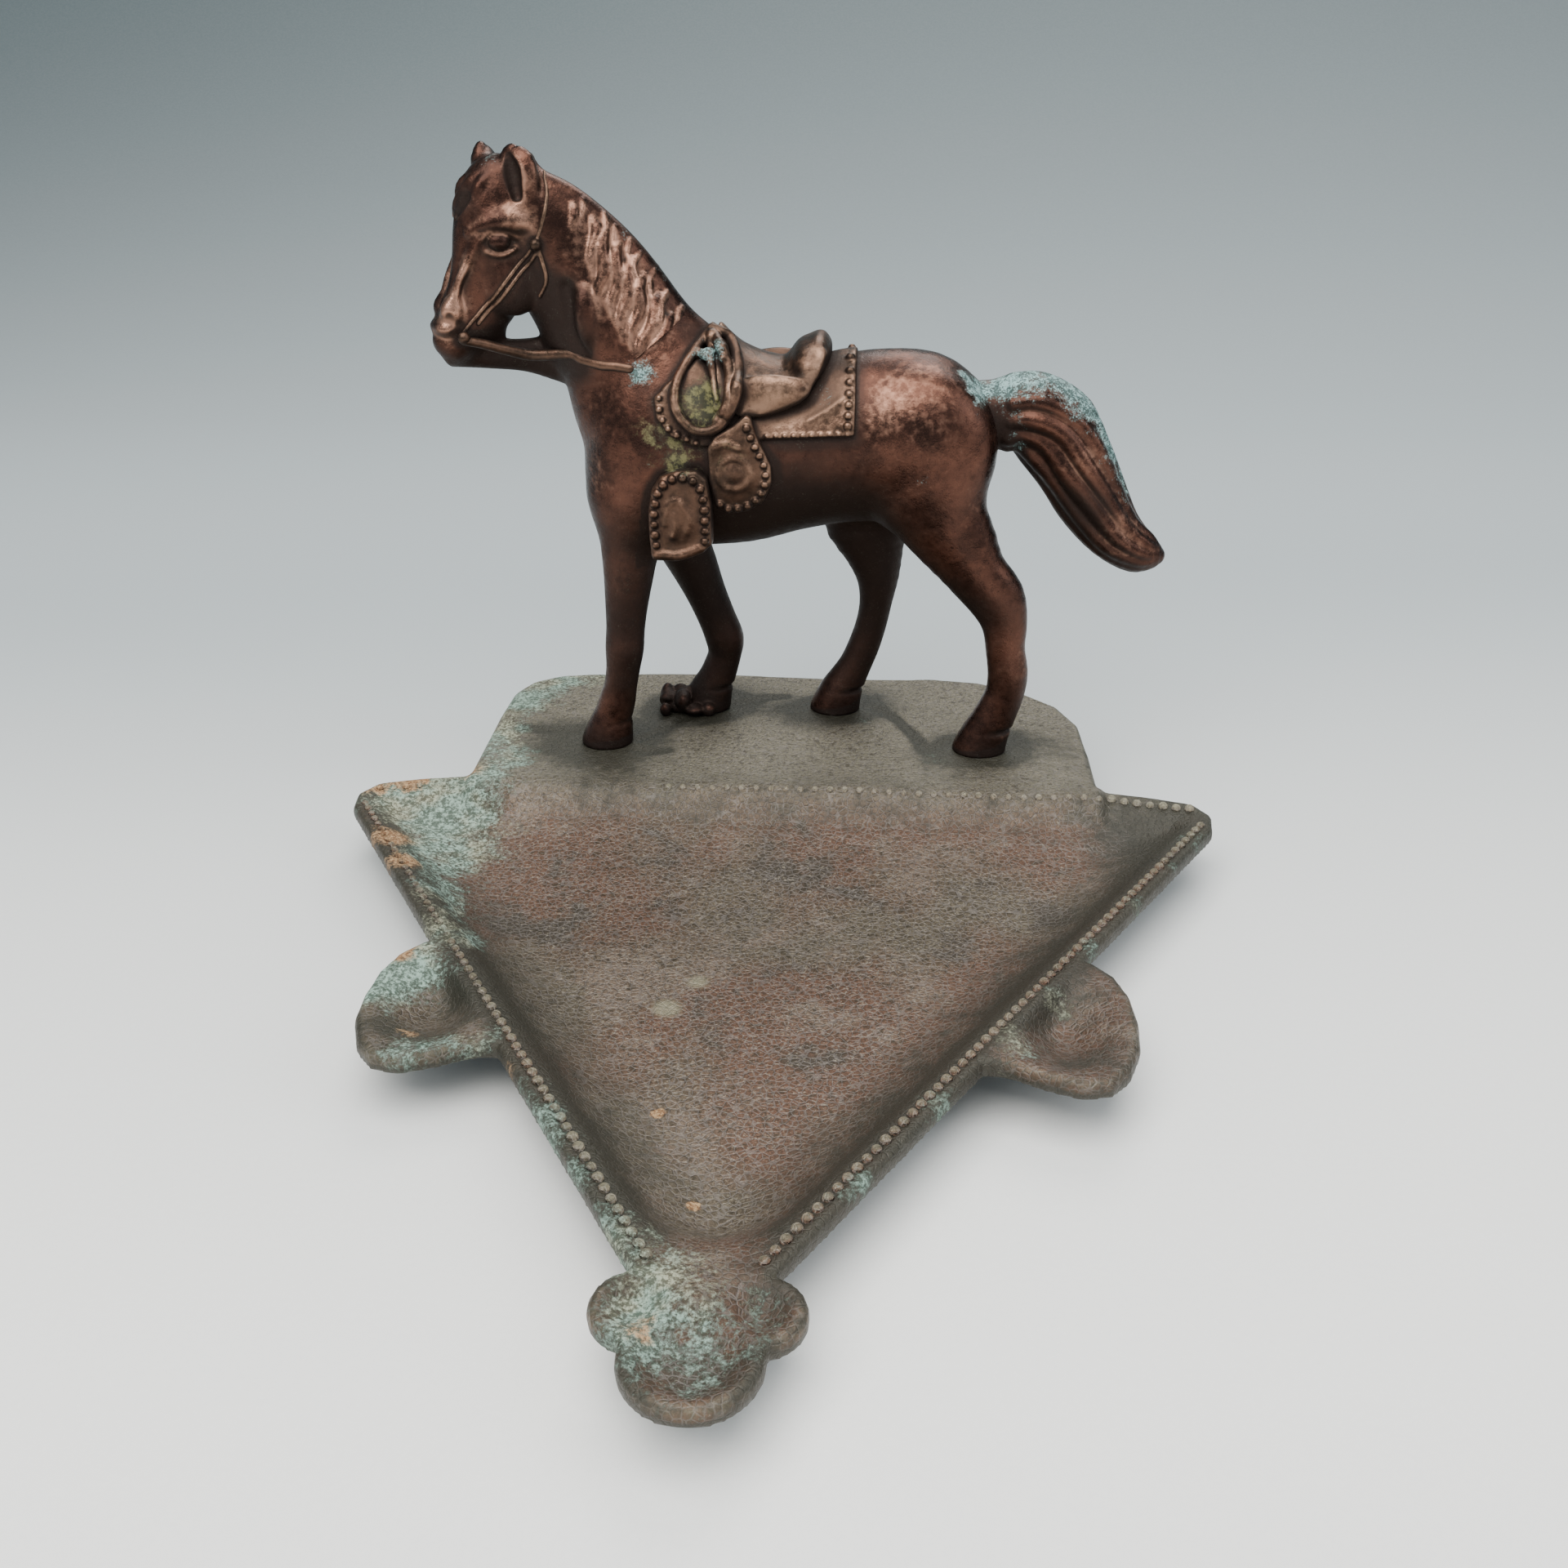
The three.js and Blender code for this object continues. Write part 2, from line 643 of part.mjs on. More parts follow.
const horse = new THREE.Group();
horse.add(
  mesh("torso_shell_left", torsoShell(-1), bodyCopper),
  mesh("torso_shell_right", torsoShell(1), bodyCopper),
  mesh("neck_casting", neck(), bodyCopper),
  mesh("head_casting", head(), bodyCopper),
  mesh("tail_casting", tail(), bodyCopper),
  ...Object.keys(LEGS).map((name) => mesh(`leg_${name}`, leg(name), bodyCopper)),
);

const tack = new THREE.Group();
tack.add(
  mesh("saddle_blanket", blanket(), reliefCopper),
  mesh("saddle_seat", saddle(), reliefCopper),
  mesh("fender_left", sidePlate(FENDER, LEFT, 2.6), reliefCopper),
  mesh("fender_right", sidePlate(FENDER, RIGHT, 2.6), reliefCopper),
  mesh("tapadero_left", tapadero([MID_Y - 16.6, MID_Y - 9], "front_left"), reliefCopper),
  mesh("tapadero_right", tapadero([MID_Y + 9, MID_Y + 16.6], "front_right"), reliefCopper),
  mesh("lariat_coil", lariat(), reliefCopper),
  mesh("headstall", headstall(), reliefCopper),
  mesh("bit", bit(), reliefCopper),
  mesh("reins", reins(), reliefCopper),
);

const base = new THREE.Group();
base.add(
  mesh("tray_casting", tray(hooves.map(({ at }) => at)), trayBronze),
  ...hooves.map(({ name, at }) => mesh(`hoof_screw_${name}`, hoofScrew(at), steel)),
);

const statue = new THREE.Group();
statue.add(base, horse, tack);

export default statue;
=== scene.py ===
"""A saddled western horse figurine on a shield-shaped ashtray, in worn copper-bronze plating.

Everything cast is modelled like clay: distance fields on fine grids, in millimetres, in the
frame's own axes (horse facing -X, its left side towards the pan at -Y, plinth at +Y, Z up).
Each field is then skinned with quads, cut into the frame's pieces and turned into metres.
"""
import math
import bmesh
import bpy
import numpy as np
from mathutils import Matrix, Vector


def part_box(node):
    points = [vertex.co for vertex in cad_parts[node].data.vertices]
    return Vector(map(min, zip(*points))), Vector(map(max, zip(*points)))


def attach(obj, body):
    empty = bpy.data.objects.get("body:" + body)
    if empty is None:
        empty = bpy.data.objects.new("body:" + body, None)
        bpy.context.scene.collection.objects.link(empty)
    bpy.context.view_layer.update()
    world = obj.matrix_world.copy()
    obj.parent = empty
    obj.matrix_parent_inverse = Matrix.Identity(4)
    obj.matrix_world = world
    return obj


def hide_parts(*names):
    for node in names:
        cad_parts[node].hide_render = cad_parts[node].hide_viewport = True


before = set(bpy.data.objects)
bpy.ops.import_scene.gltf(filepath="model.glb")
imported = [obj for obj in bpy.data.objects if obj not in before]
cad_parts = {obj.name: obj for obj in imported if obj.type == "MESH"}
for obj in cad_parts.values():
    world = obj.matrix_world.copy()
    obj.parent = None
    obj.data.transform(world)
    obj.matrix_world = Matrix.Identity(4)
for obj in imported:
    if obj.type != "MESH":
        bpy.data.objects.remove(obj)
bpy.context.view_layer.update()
MM = 0.001
FAR = 30.0  # the distance of everything that is out of reach
TINY = 1e-6
SINK = 1.0  # how deep the back of draped leather lies inside what it covers
rng = np.random.default_rng(7)


def corner(node, end, axis):
    """One coordinate of a CAD node's box, in mm: end 0 is its low side and 1 its high side."""
    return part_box(node)[end][axis] / MM


# ---- Driving dimensions, from the frame --------------------------------------------------------

# The horse's plane of symmetry, the hooves' underside, the middle of its left and right hooves, and
# the plinth's top.
MID = (corner("torso_shell_left", 0, 1) + corner("torso_shell_right", 1, 1)) / 2
SOLE = corner("leg_front_left", 0, 2)
NEAR = (corner("hoof_screw_front_left", 0, 1) + corner("hoof_screw_front_left", 1, 1)) / 2
FARSIDE = 2 * MID - NEAR
PLINTH = corner("tray_casting", 1, 2)


# ---- Clay: distance fields ----------------------------------------------------------------------

def path_distance(x, y, path):
    """Distance on a plane to an open path."""
    best = np.full(np.broadcast(x, y).shape, FAR)
    for (ax, ay), (bx, by) in zip(path, path[1:]):
        ex, ey = bx - ax, by - ay
        t = np.clip(((x - ax) * ex + (y - ay) * ey) / (ex * ex + ey * ey), 0, 1)
        best = np.minimum(best, np.hypot(x - ax - t * ex, y - ay - t * ey))
    return best


def outline_distance(x, y, outline):
    """Signed distance on a plane to a closed outline, negative inside."""
    points = np.array([*outline, outline[0]], float)
    best = path_distance(x, y, points)
    inside = np.zeros(best.shape, bool)
    for (ax, ay), (bx, by) in zip(points, points[1:]):
        if by != ay:
            inside ^= ((ay > y) != (by > y)) & (x < (bx - ax) * (y - ay) / (by - ay) + ax)
    return np.where(inside, -best, best)


def smooth_min(a, b, k):
    """The union of two distances, with a fillet about k mm wide where they meet."""
    if k <= 0:
        return np.minimum(a, b)
    h = np.maximum(k - np.abs(a - b), 0) / k
    return np.minimum(a, b) - h * h * k / 4


def smooth_max(a, b, k):
    return -smooth_min(-a, -b, k)


def turned(q, axes):
    """Coordinates along each of three unit vectors."""
    return [q[0] * a[0] + q[1] * a[1] + q[2] * a[2] for a in axes]


def ellipsoid(u, v, w, ru, rv, rw):
    """About the distance to an ellipsoid on its own axes."""
    k0 = np.sqrt((u / ru) ** 2 + (v / rv) ** 2 + (w / rw) ** 2)
    k1 = np.sqrt((u / ru ** 2) ** 2 + (v / rv ** 2) ** 2 + (w / rw ** 2) ** 2)
    return k0 * (k0 - 1) / np.maximum(k1, TINY)


def ramp(value, low, high):
    """0 below low, 1 above high and a smooth step between."""
    t = np.clip((value - low) / (high - low), 0, 1)
    return t * t * (3 - 2 * t)


def evenly(path, pitch):
    """Points spaced evenly, about pitch apart, along a smooth path."""
    line = spline(path, 8)
    steps = np.linalg.norm(np.diff(line, axis=0), axis=1)
    run = np.concatenate([[0], np.cumsum(steps)])
    at = np.linspace(0, run[-1], max(2, round(run[-1] / pitch) + 1))
    return np.stack([np.interp(at, run, column) for column in line.T], 1)


def spline(points, per_span):
    """A Catmull-Rom curve through rows of numbers."""
    p = np.array(points, float)
    if len(p) < 3 or per_span == 1:
        return p if per_span == 1 else np.linspace(p[0], p[-1], per_span + 1)
    ends = np.vstack([2 * p[0] - p[1], p, 2 * p[-1] - p[-2]])
    t = np.arange(per_span)[:, None] / per_span
    spans = []
    for a, b, c, d in zip(ends, ends[1:], ends[2:], ends[3:]):
        spans.append(0.5 * (2 * b + (c - a) * t + (2 * a - 5 * b + 4 * c - d) * t ** 2
                            + (3 * b - a - 3 * c + d) * t ** 3))
    return np.vstack(spans + [p[-1:]])


CELL_CORNERS = np.array([(a, b, c) for a in (0, 1) for b in (0, 1) for c in (0, 1)])


class Clay:
    """A block of clay: signed distance in mm on a grid of cells, negative inside."""

    def __init__(self, low, high, cell):
        self.cell = cell
        self.low = np.array(low, float)
        self.count = np.ceil((np.array(high) - low) / cell).astype(int) + 1
        self.d = np.full(self.count, FAR, np.float32)

    def window(self, low, high):
        """The slices of the grid between two corners, and their coordinates."""
        a = np.clip(np.floor((np.array(low) - self.low) / self.cell), 0, self.count).astype(int)
        b = np.clip(np.ceil((np.array(high) - self.low) / self.cell) + 1, 0, self.count).astype(int)
        if (b <= a).any():
            return None, None
        part = tuple(slice(i, j) for i, j in zip(a, b))
        axes = [(self.low[k] + self.cell * np.arange(a[k], b[k])).astype(np.float32) for k in range(3)]
        return part, (axes[0][:, None, None], axes[1][None, :, None], axes[2][None, None, :])

    def everywhere(self):
        return self.window(self.low, self.low + self.cell * self.count)[1]

    def mix(self, part, shape, blend, carve):
        if carve:
            self.d[part] = -smooth_min(-self.d[part], shape, blend)
        else:
            self.d[part] = smooth_min(self.d[part], shape, blend)

    def blob(self, centre, radii, blend, carve=False, axes=None):
        """An ellipsoid. axes holds its three unit vectors where it isn't square to the grid."""
        reach = max(radii) + blend + 3
        part, grid = self.window(np.array(centre) - reach, np.array(centre) + reach)
        if part is None:
            return
        q = [g - c for g, c in zip(grid, centre)]
        if axes is not None:
            q = turned(q, axes)
        self.mix(part, ellipsoid(*q, *radii), blend, carve)

    def tube(self, stations, blend, side=(0, 1, 0), steps=4, carve=False):
        """A swept ellipse. A station is (x, y, z, in-plane radius, radius along side)."""
        rows = spline(stations, steps)
        reach = rows[:, 3:].max() + blend + 4
        part, _ = self.window(rows[:, :3].min(0) - reach, rows[:, :3].max(0) + reach)
        if part is None:
            return
        whole = np.full([p.stop - p.start for p in part], FAR, np.float32)
        for a, b in zip(rows, rows[1:]):
            near = max(a[3:].max(), b[3:].max()) + blend + 4
            sub, g = self.window(np.minimum(a, b)[:3] - near, np.maximum(a, b)[:3] + near)
            if sub is None:
                continue
            length = max(np.linalg.norm(b[:3] - a[:3]), TINY)
            along = (b[:3] - a[:3]) / length
            lateral = np.array(side) - np.dot(side, along) * along
            lateral /= np.linalg.norm(lateral)
            axes = (np.cross(along, lateral), lateral, along)
            u, v, w = turned([gi - ai for gi, ai in zip(g, a)], axes)
            t = np.clip(w / length, 0, 1)
            ru = a[3] + (b[3] - a[3]) * t
            rv = a[4] + (b[4] - a[4]) * t
            d = ellipsoid(u, v, w - t * length, ru, rv, np.minimum(ru, rv))
            inner = tuple(slice(s.start - p.start, s.stop - p.start) for s, p in zip(sub, part))
            whole[inner] = np.minimum(whole[inner], d)
        self.mix(part, whole, blend, carve)

    def rope(self, points, radius, blend, steps=3, carve=False):
        """A round bar along points. radius is a number, or one number for each point."""
        radii = np.broadcast_to(radius, len(points))
        stations = [(*p, r, r) for p, r in zip(points, radii)]
        line = np.array(points[-1], float) - points[0]
        side = np.eye(3)[np.argmin(np.abs(line))]
        self.tube(stations, blend, side, steps, carve)

    def slab(self, outline, middle, half, rounding):
        """A plate of an (x, z) outline, rounded at its edges, between middle - half and + half."""
        x, y, z = self.everywhere()
        flat = outline_distance(x[:, 0, :], z[0], outline)[:, None, :] + rounding
        depth = np.abs(y - middle) - half + rounding
        outside = np.hypot(np.maximum(flat, 0), np.maximum(depth, 0))
        shape = outside + np.minimum(np.maximum(flat, depth), 0) - rounding
        self.d = smooth_min(self.d, shape.astype(np.float32), 0.5)

    def regrid(self, other):
        """Another clay's distances, read on this clay's grid."""
        d = other.d
        for axis in range(3):
            at = self.low[axis] + self.cell * np.arange(self.count[axis]) - other.low[axis]
            at = np.clip(at / other.cell, 0, other.count[axis] - 1.001)
            index = at.astype(int)
            share = (at - index).astype(np.float32).reshape([-1 if k == axis else 1 for k in range(3)])
            d = np.take(d, index, axis) * (1 - share) + np.take(d, index + 1, axis) * share
        return d

    def joined(self, other):
        """A copy of this clay with another one added."""
        made = Clay(self.low, self.low, self.cell)
        made.count = self.count
        outside = np.zeros(self.count, bool)
        for k, g in enumerate(self.everywhere()):
            outside |= (g < other.low[k]) | (g > other.low[k] + other.cell * (other.count[k] - 1))
        made.d = np.minimum(self.d, np.where(outside, FAR, self.regrid(other))).astype(np.float32)
        return made

    def drape(self, under, outline, thickness, rounding=0.5, near_only=False):
        """Leather over another clay, wherever the (x, z) outline covers it."""
        ground = self.regrid(under)
        x, y, z = self.everywhere()
        flat = outline_distance(x[:, 0, :], z[0], outline)[:, None, :].astype(np.float32)
        shape = smooth_max(ground - thickness, flat, rounding)
        shape = np.maximum(shape, -ground - SINK)
        if near_only:
            shape = np.maximum(shape, y - MID)
        self.d = smooth_min(self.d, shape, 0.3)

    def onto(self, points, lift):
        """Points moved straight to the surface, or to lift mm outside it."""
        p = np.array(points, float)
        for _ in range(6):
            p -= np.clip(self.sample(p) - lift, -1.5, 1.5)[:, None] * self.slope(p)
        return p

    def on_side(self, path, lift, side=-1):
        """(x, z) points laid on the clay's side, as (x, y, z)."""
        path = np.array(path, float)
        y = self.surface_y(path[:, 0], path[:, 1], side)
        found = ~np.isnan(y)
        if not found.any():
            return np.stack([path[:, 0], np.zeros(len(y)) + MID + side * 8, path[:, 1]], 1)
        y = np.interp(np.arange(len(y)), np.flatnonzero(found), y[found])
        return np.stack([path[:, 0], y + side * lift, path[:, 1]], 1)

    def beads(self, places, radius):
        for p in places:
            size = radius * rng.uniform(0.9, 1.1)
            self.blob(p, (size, size, size), 0.15)

    def soften(self, width):
        """Round everything off over about this many mm."""
        kernel_half = max(1, int(round(width / self.cell)))
        for axis in range(3):
            total = np.zeros_like(self.d)
            for shift in range(-kernel_half, kernel_half + 1):
                total += np.roll(self.d, shift, axis)
            self.d = total / (2 * kernel_half + 1)

    def sample(self, points, outside=FAR):
        """Trilinear distances at points."""
        g = (points - self.low) / self.cell
        ok = ((g >= 0) & (g <= self.count - 1.001)).all(1)
        result = np.full(len(points), outside, np.float64)
        g = g[ok]
        i = g.astype(int)
        f = g - i
        total = np.zeros(len(g))
        for offset in CELL_CORNERS:
            wx, wy, wz = np.where(offset, f, 1 - f).T
            total += wx * wy * wz * self.d[tuple((i + offset).T)]
        result[ok] = total
        return result

    def slope(self, points):
        """Outward unit normals at points."""
        h = 0.6 * self.cell
        g = np.stack([self.sample(points + h * e) - self.sample(points - h * e) for e in np.eye(3)], 1)
        return g / np.maximum(np.linalg.norm(g, axis=1, keepdims=True), 1e-9)

    def surface_y(self, x, z, side):
        """Where a line along Y through (x, z) first meets the clay, coming from one side."""
        x, z = np.broadcast_arrays(np.atleast_1d(np.array(x, float)), np.atleast_1d(np.array(z, float)))
        ys = self.low[1] + self.cell * np.arange(self.count[1])
        if side > 0:
            ys = ys[::-1]
        found = np.full(len(x), np.nan)
        last = np.full(len(x), FAR)
        for k, y in enumerate(ys):
            here = self.sample(np.stack([x, np.full(len(x), y), z], 1))
            hit = np.isnan(found) & (here < 0) & (last < FAR)
            share = last[hit] / np.maximum(last[hit] - here[hit], TINY)
            found[hit] = ys[k - 1] + (y - ys[k - 1]) * share
            last = here
        return found

    def skin(self):
        """Vertices and quads of the surface, by surface nets with the vertices pulled onto it."""
        inside = self.d < 0
        n = self.count - 1
        total = np.zeros(n, np.int8)
        for a, b, c in CELL_CORNERS:
            total += inside[a:a + n[0], b:b + n[1], c:c + n[2]]
        cells = np.argwhere((total > 0) & (total < 8))
        verts = self.low + self.cell * (cells + self.crossings(cells))
        for _ in range(2):
            step = self.sample(verts, 0)
            verts -= np.clip(step, -0.5 * self.cell, 0.5 * self.cell)[:, None] * self.slope(verts)
        index = np.full(n, -1, np.int32)
        index[tuple(cells.T)] = np.arange(len(cells))
        return verts, self.quads(inside, index)

    def crossings(self, cells):
        """The mean place, within each cell, of where the surface cuts the cell's edges."""
        value = np.stack([self.d[tuple((cells + o).T)] for o in CELL_CORNERS], 1).astype(float)
        point = np.zeros((len(cells), 3))
        hits = np.zeros(len(cells))
        for i in range(8):
            for j in range(i + 1, 8):
                edge_along = CELL_CORNERS[j] - CELL_CORNERS[i]
                if np.abs(edge_along).sum() != 1:
                    continue
                cross = (value[:, i] < 0) != (value[:, j] < 0)
                t = value[cross, i] / (value[cross, i] - value[cross, j])
                point[cross] += CELL_CORNERS[i] + t[:, None] * edge_along
                hits[cross] += 1
        return point / hits[:, None]

    def quads(self, inside, index):
        """One quad, facing outwards, round every grid edge that passes through the surface."""
        quads = []
        for axis in range(3):
            b, c = (axis + 1) % 3, (axis + 2) % 3
            edges = np.argwhere(np.diff(inside, axis=axis))
            edges = edges[(edges[:, b] > 0) & (edges[:, c] > 0)
                          & (edges[:, b] < self.count[b] - 1) & (edges[:, c] < self.count[c] - 1)]
            eb, ec = np.eye(3, dtype=int)[b], np.eye(3, dtype=int)[c]
            ring = [edges - eb - ec, edges - ec, edges, edges - eb]
            quad = np.stack([index[tuple(r.T)] for r in ring], 1)
            outward = inside[tuple(edges.T)]
            quads.append(np.where(outward[:, None], quad, quad[:, ::-1]))
        return np.vstack(quads)


# ---- The horse ----------------------------------------------------------------------------------

SOLDER_LUMPS = 36
TAIL_STRANDS = 11


def on_mid(rows):
    """(x, z, in-plane radius, lateral radius) stations on the horse's plane of symmetry."""
    return [(x, MID, z, a, b) for x, z, a, b in rows]


BARREL = on_mid([
    (-26, 64.8, 13.4, 9.6), (-21, 66, 16.9, 12.2), (-15, 66.2, 17.4, 13.0), (-8, 65.8, 16.4, 13.2),
    (0, 66.3, 14.6, 13.0), (8, 67.8, 14.6, 12.6), (16, 68.8, 15.1, 12.4), (23, 68.4, 15.4, 12.2),
    (27.0, 68.2, 13.2, 10.6),
])

NECK = [
    (-20.5, MID, 74, 13.2, 10.4), (-25.4, MID, 80.2, 13.0, 9.4), (-29.4, MID, 86, 12.2, 8.2),
    (-33.6, MID - 0.3, 92.6, 11.2, 6.8), (-38.2, MID - 0.8, 99, 9.8, 5.8),
    (-41.6, MID - 1.6, 104.4, 7.8, 5.2), (-44.2, MID - 2.2, 108.0, 5.6, 4.6),
]

CREST = [
    (-14.5, MID, 85.8, 2.2, 2.2), (-18.8, MID, 89.4, 2.0, 2.2), (-23.0, MID, 95.6, 2.0, 2.2),
    (-27.0, MID - 0.3, 101, 1.9, 2.1), (-31.8, MID - 0.6, 105.6, 1.9, 2.1),
    (-36.4, MID - 1.0, 109.2, 1.8, 2.0), (-41.0, MID - 1.8, 111.4, 1.8, 1.9),
    (-44.6, MID - 2.6, 113.2, 1.6, 1.8),
]

# Legs, as (x, z, in-plane radius, lateral radius) from the thigh or shoulder down to the hoof.
LEGS = {
    "leg_front_left": (NEAR, NEAR + 2.6, [
        (-27.6, 58, 6.6, 5.0), (-28.2, 51, 5.5, 4.8), (-28.6, 45.5, 4.7, 4.4), (-29.2, 39.5, 4.0, 3.8),
        (-29.6, 34.6, 3.6, 3.4), (-29.9, 30.8, 3.6, 3.5), (-30.3, 27.2, 3.2, 3.1), (-31.0, 23.4, 3.1, 3.0),
        (-31.7, 20.6, 3.4, 3.2), (-32.6, 17.6, 3.6, 3.4), (-33.4, 14.6, 4.3, 4.0), (-34.1, 11.8, 4.9, 4.5),
    ]),
    "leg_front_right": (FARSIDE, FARSIDE - 2.6, [
        (-23.5, 57, 6.2, 5.0), (-21.2, 48.6, 5.4, 4.6), (-18.6, 42, 4.6, 4.1), (-16.4, 36, 3.9, 3.6),
        (-14.4, 30.4, 3.7, 3.4), (-13.1, 26.4, 3.8, 3.6), (-13.1, 23.4, 3.3, 3.1), (-13.9, 20.6, 3.4, 3.1),
        (-15.0, 17.6, 3.7, 3.4), (-16.2, 14.8, 4.3, 3.9), (-17.0, 11.8, 4.8, 4.4),
    ]),
    "leg_hind_left": (NEAR, NEAR + 2.2, [
        (24.6, 60, 8.4, 5.8), (30.2, 52.6, 7.3, 5.4), (34.2, 46.4, 5.6, 4.7), (38.2, 41.6, 5.2, 4.0),
        (39.9, 37.0, 4.2, 3.4), (40.3, 32.2, 3.6, 3.3), (41.0, 27.6, 3.7, 3.3), (40.7, 23.6, 3.6, 3.2),
        (39.4, 19.8, 3.8, 3.4), (38.2, 16.8, 4.1, 3.8), (37.2, 14.4, 4.5, 4.1), (36.4, 11.8, 5.0, 4.5),
    ]),
    "leg_hind_right": (FARSIDE, FARSIDE - 2.2, [
        (16.4, 60, 9.0, 5.6), (14.4, 52.4, 8.4, 5.2), (15.6, 46.4, 6.0, 4.4), (16.6, 40.6, 4.2, 3.8),
        (16.4, 35.2, 3.2, 3.2), (15.6, 30.2, 3.0, 3.0), (14.2, 25.4, 3.1, 3.0), (12.6, 21.4, 3.2, 3.1),
        (10.9, 18.0, 3.7, 3.4), (9.6, 15.2, 4.3, 3.9), (8.6, 11.8, 4.9, 4.4),
    ]),
}

# Locks of mane on the near side, as (x, z) strokes from the crest down, and their widths.
LOCKS = [
    (0.7, [(-35.6, 109.6), (-35.2, 106.8), (-36.0, 103.4)]),
    (0.9, [(-32.6, 107.6), (-31.6, 103.6), (-32.4, 99.8), (-32.0, 96.6)]),
    (1.0, [(-29.8, 105.6), (-30.6, 101.6), (-30.4, 97.6), (-31.8, 94.0), (-31.2, 90.8)]),
    (0.9, [(-27.4, 103.4), (-28.4, 99.6), (-28.0, 95.8), (-29.2, 92.4), (-28.6, 88.8)]),
    (1.0, [(-25.4, 101.0), (-26.8, 97.4), (-26.4, 93.8), (-27.6, 90.2), (-27.0, 86.6)]),
    (1.0, [(-23.0, 98.4), (-24.6, 94.8), (-24.4, 91.4), (-25.8, 87.6), (-25.4, 84.6)]),
    (1.1, [(-21.0, 94.4), (-22.2, 91.9), (-22.4, 89.2), (-24.2, 85.8), (-24.0, 82.8)]),
    (1.0, [(-19.0, 91.6), (-20.0, 89.4), (-20.6, 86.8), (-22.6, 83.6), (-22.8, 81.0)]),
    (0.9, [(-17.2, 88.8), (-18.0, 87.0), (-19.0, 84.6), (-20.8, 82.0)]),
]

# The head has its own axes: forward along the face, towards its left side, and up.
TURN = math.radians(30)
FORWARD = np.array([-math.cos(TURN), -math.sin(TURN), 0.0])
LEFTWARD = np.array([math.sin(TURN), -math.cos(TURN), 0.0])
UP = np.array([0.0, 0.0, 1.0])
HEAD_AXES = (FORWARD, LEFTWARD, UP)
HEAD_PIVOT = np.array([-50.3, MID - 3.45, 0.0])


def on_head(forward, left, up):
    """A place in mm from the head's own axes."""
    return tuple(HEAD_PIVOT + forward * FORWARD + left * LEFTWARD + up * UP)


def head_path(rows):
    return [on_head(*row) for row in rows]


def sculpt_torso(clay):
    clay.tube(BARREL, 2)
    clay.blob((-25, MID, 64.5), (10.6, 11.0, 16), 3)
    clay.blob((-31.4, MID, 73.5), (5.6, 7.4, 6.0), 3)
    for s in (-1, 1):
        clay.blob((-30.6, MID + s * 4.6, 61.5), (5.0, 5.2, 9.0), 2)
        clay.blob((-24.0, MID + s * 7.4, 65), (8.6, 6.0, 14.0), 3)
        clay.blob((24.3, MID + s * 6.4, 68.6), (12.0, 7.0, 12.4), 3)
        clay.blob((28.6, MID + s * 5.6, 65.4), (7.2, 6.2, 9.0), 2.5)


def sculpt_legs(clay):
    for hoof_y, top_y, rows in LEGS.values():
        fall = [min(1.0, max(0.0, (52 - z) / 24)) for _, z, _, _ in rows]
        stations = [(x, top_y + (hoof_y - top_y) * t, z, a, b) for (x, z, a, b), t in zip(rows, fall)]
        clay.tube(stations, 3.5, steps=3)


def sculpt_neck(clay):
    clay.tube(NECK, 5)
    clay.tube(CREST, 2.5)


def sculpt_skull(clay):
    skull = [
        (-2.6, 111.6, 4.4, 4.6), (-1.9, 108, 6.3, 5.6), (-1.3, 104, 6.9, 5.6), (-0.8, 100, 7.0, 5.0),
        (0.2, 96, 6.8, 4.3), (2.2, 92.4, 6.2, 3.7), (5.0, 89, 5.2, 3.4), (6.8, 86.6, 4.0, 3.1),
        (7.2, 85.4, 2.7, 2.7),
    ]
    stations = [(*on_head(f, 0, w), a, b) for f, w, a, b in skull]
    clay.tube(stations, 1.5, side=LEFTWARD)


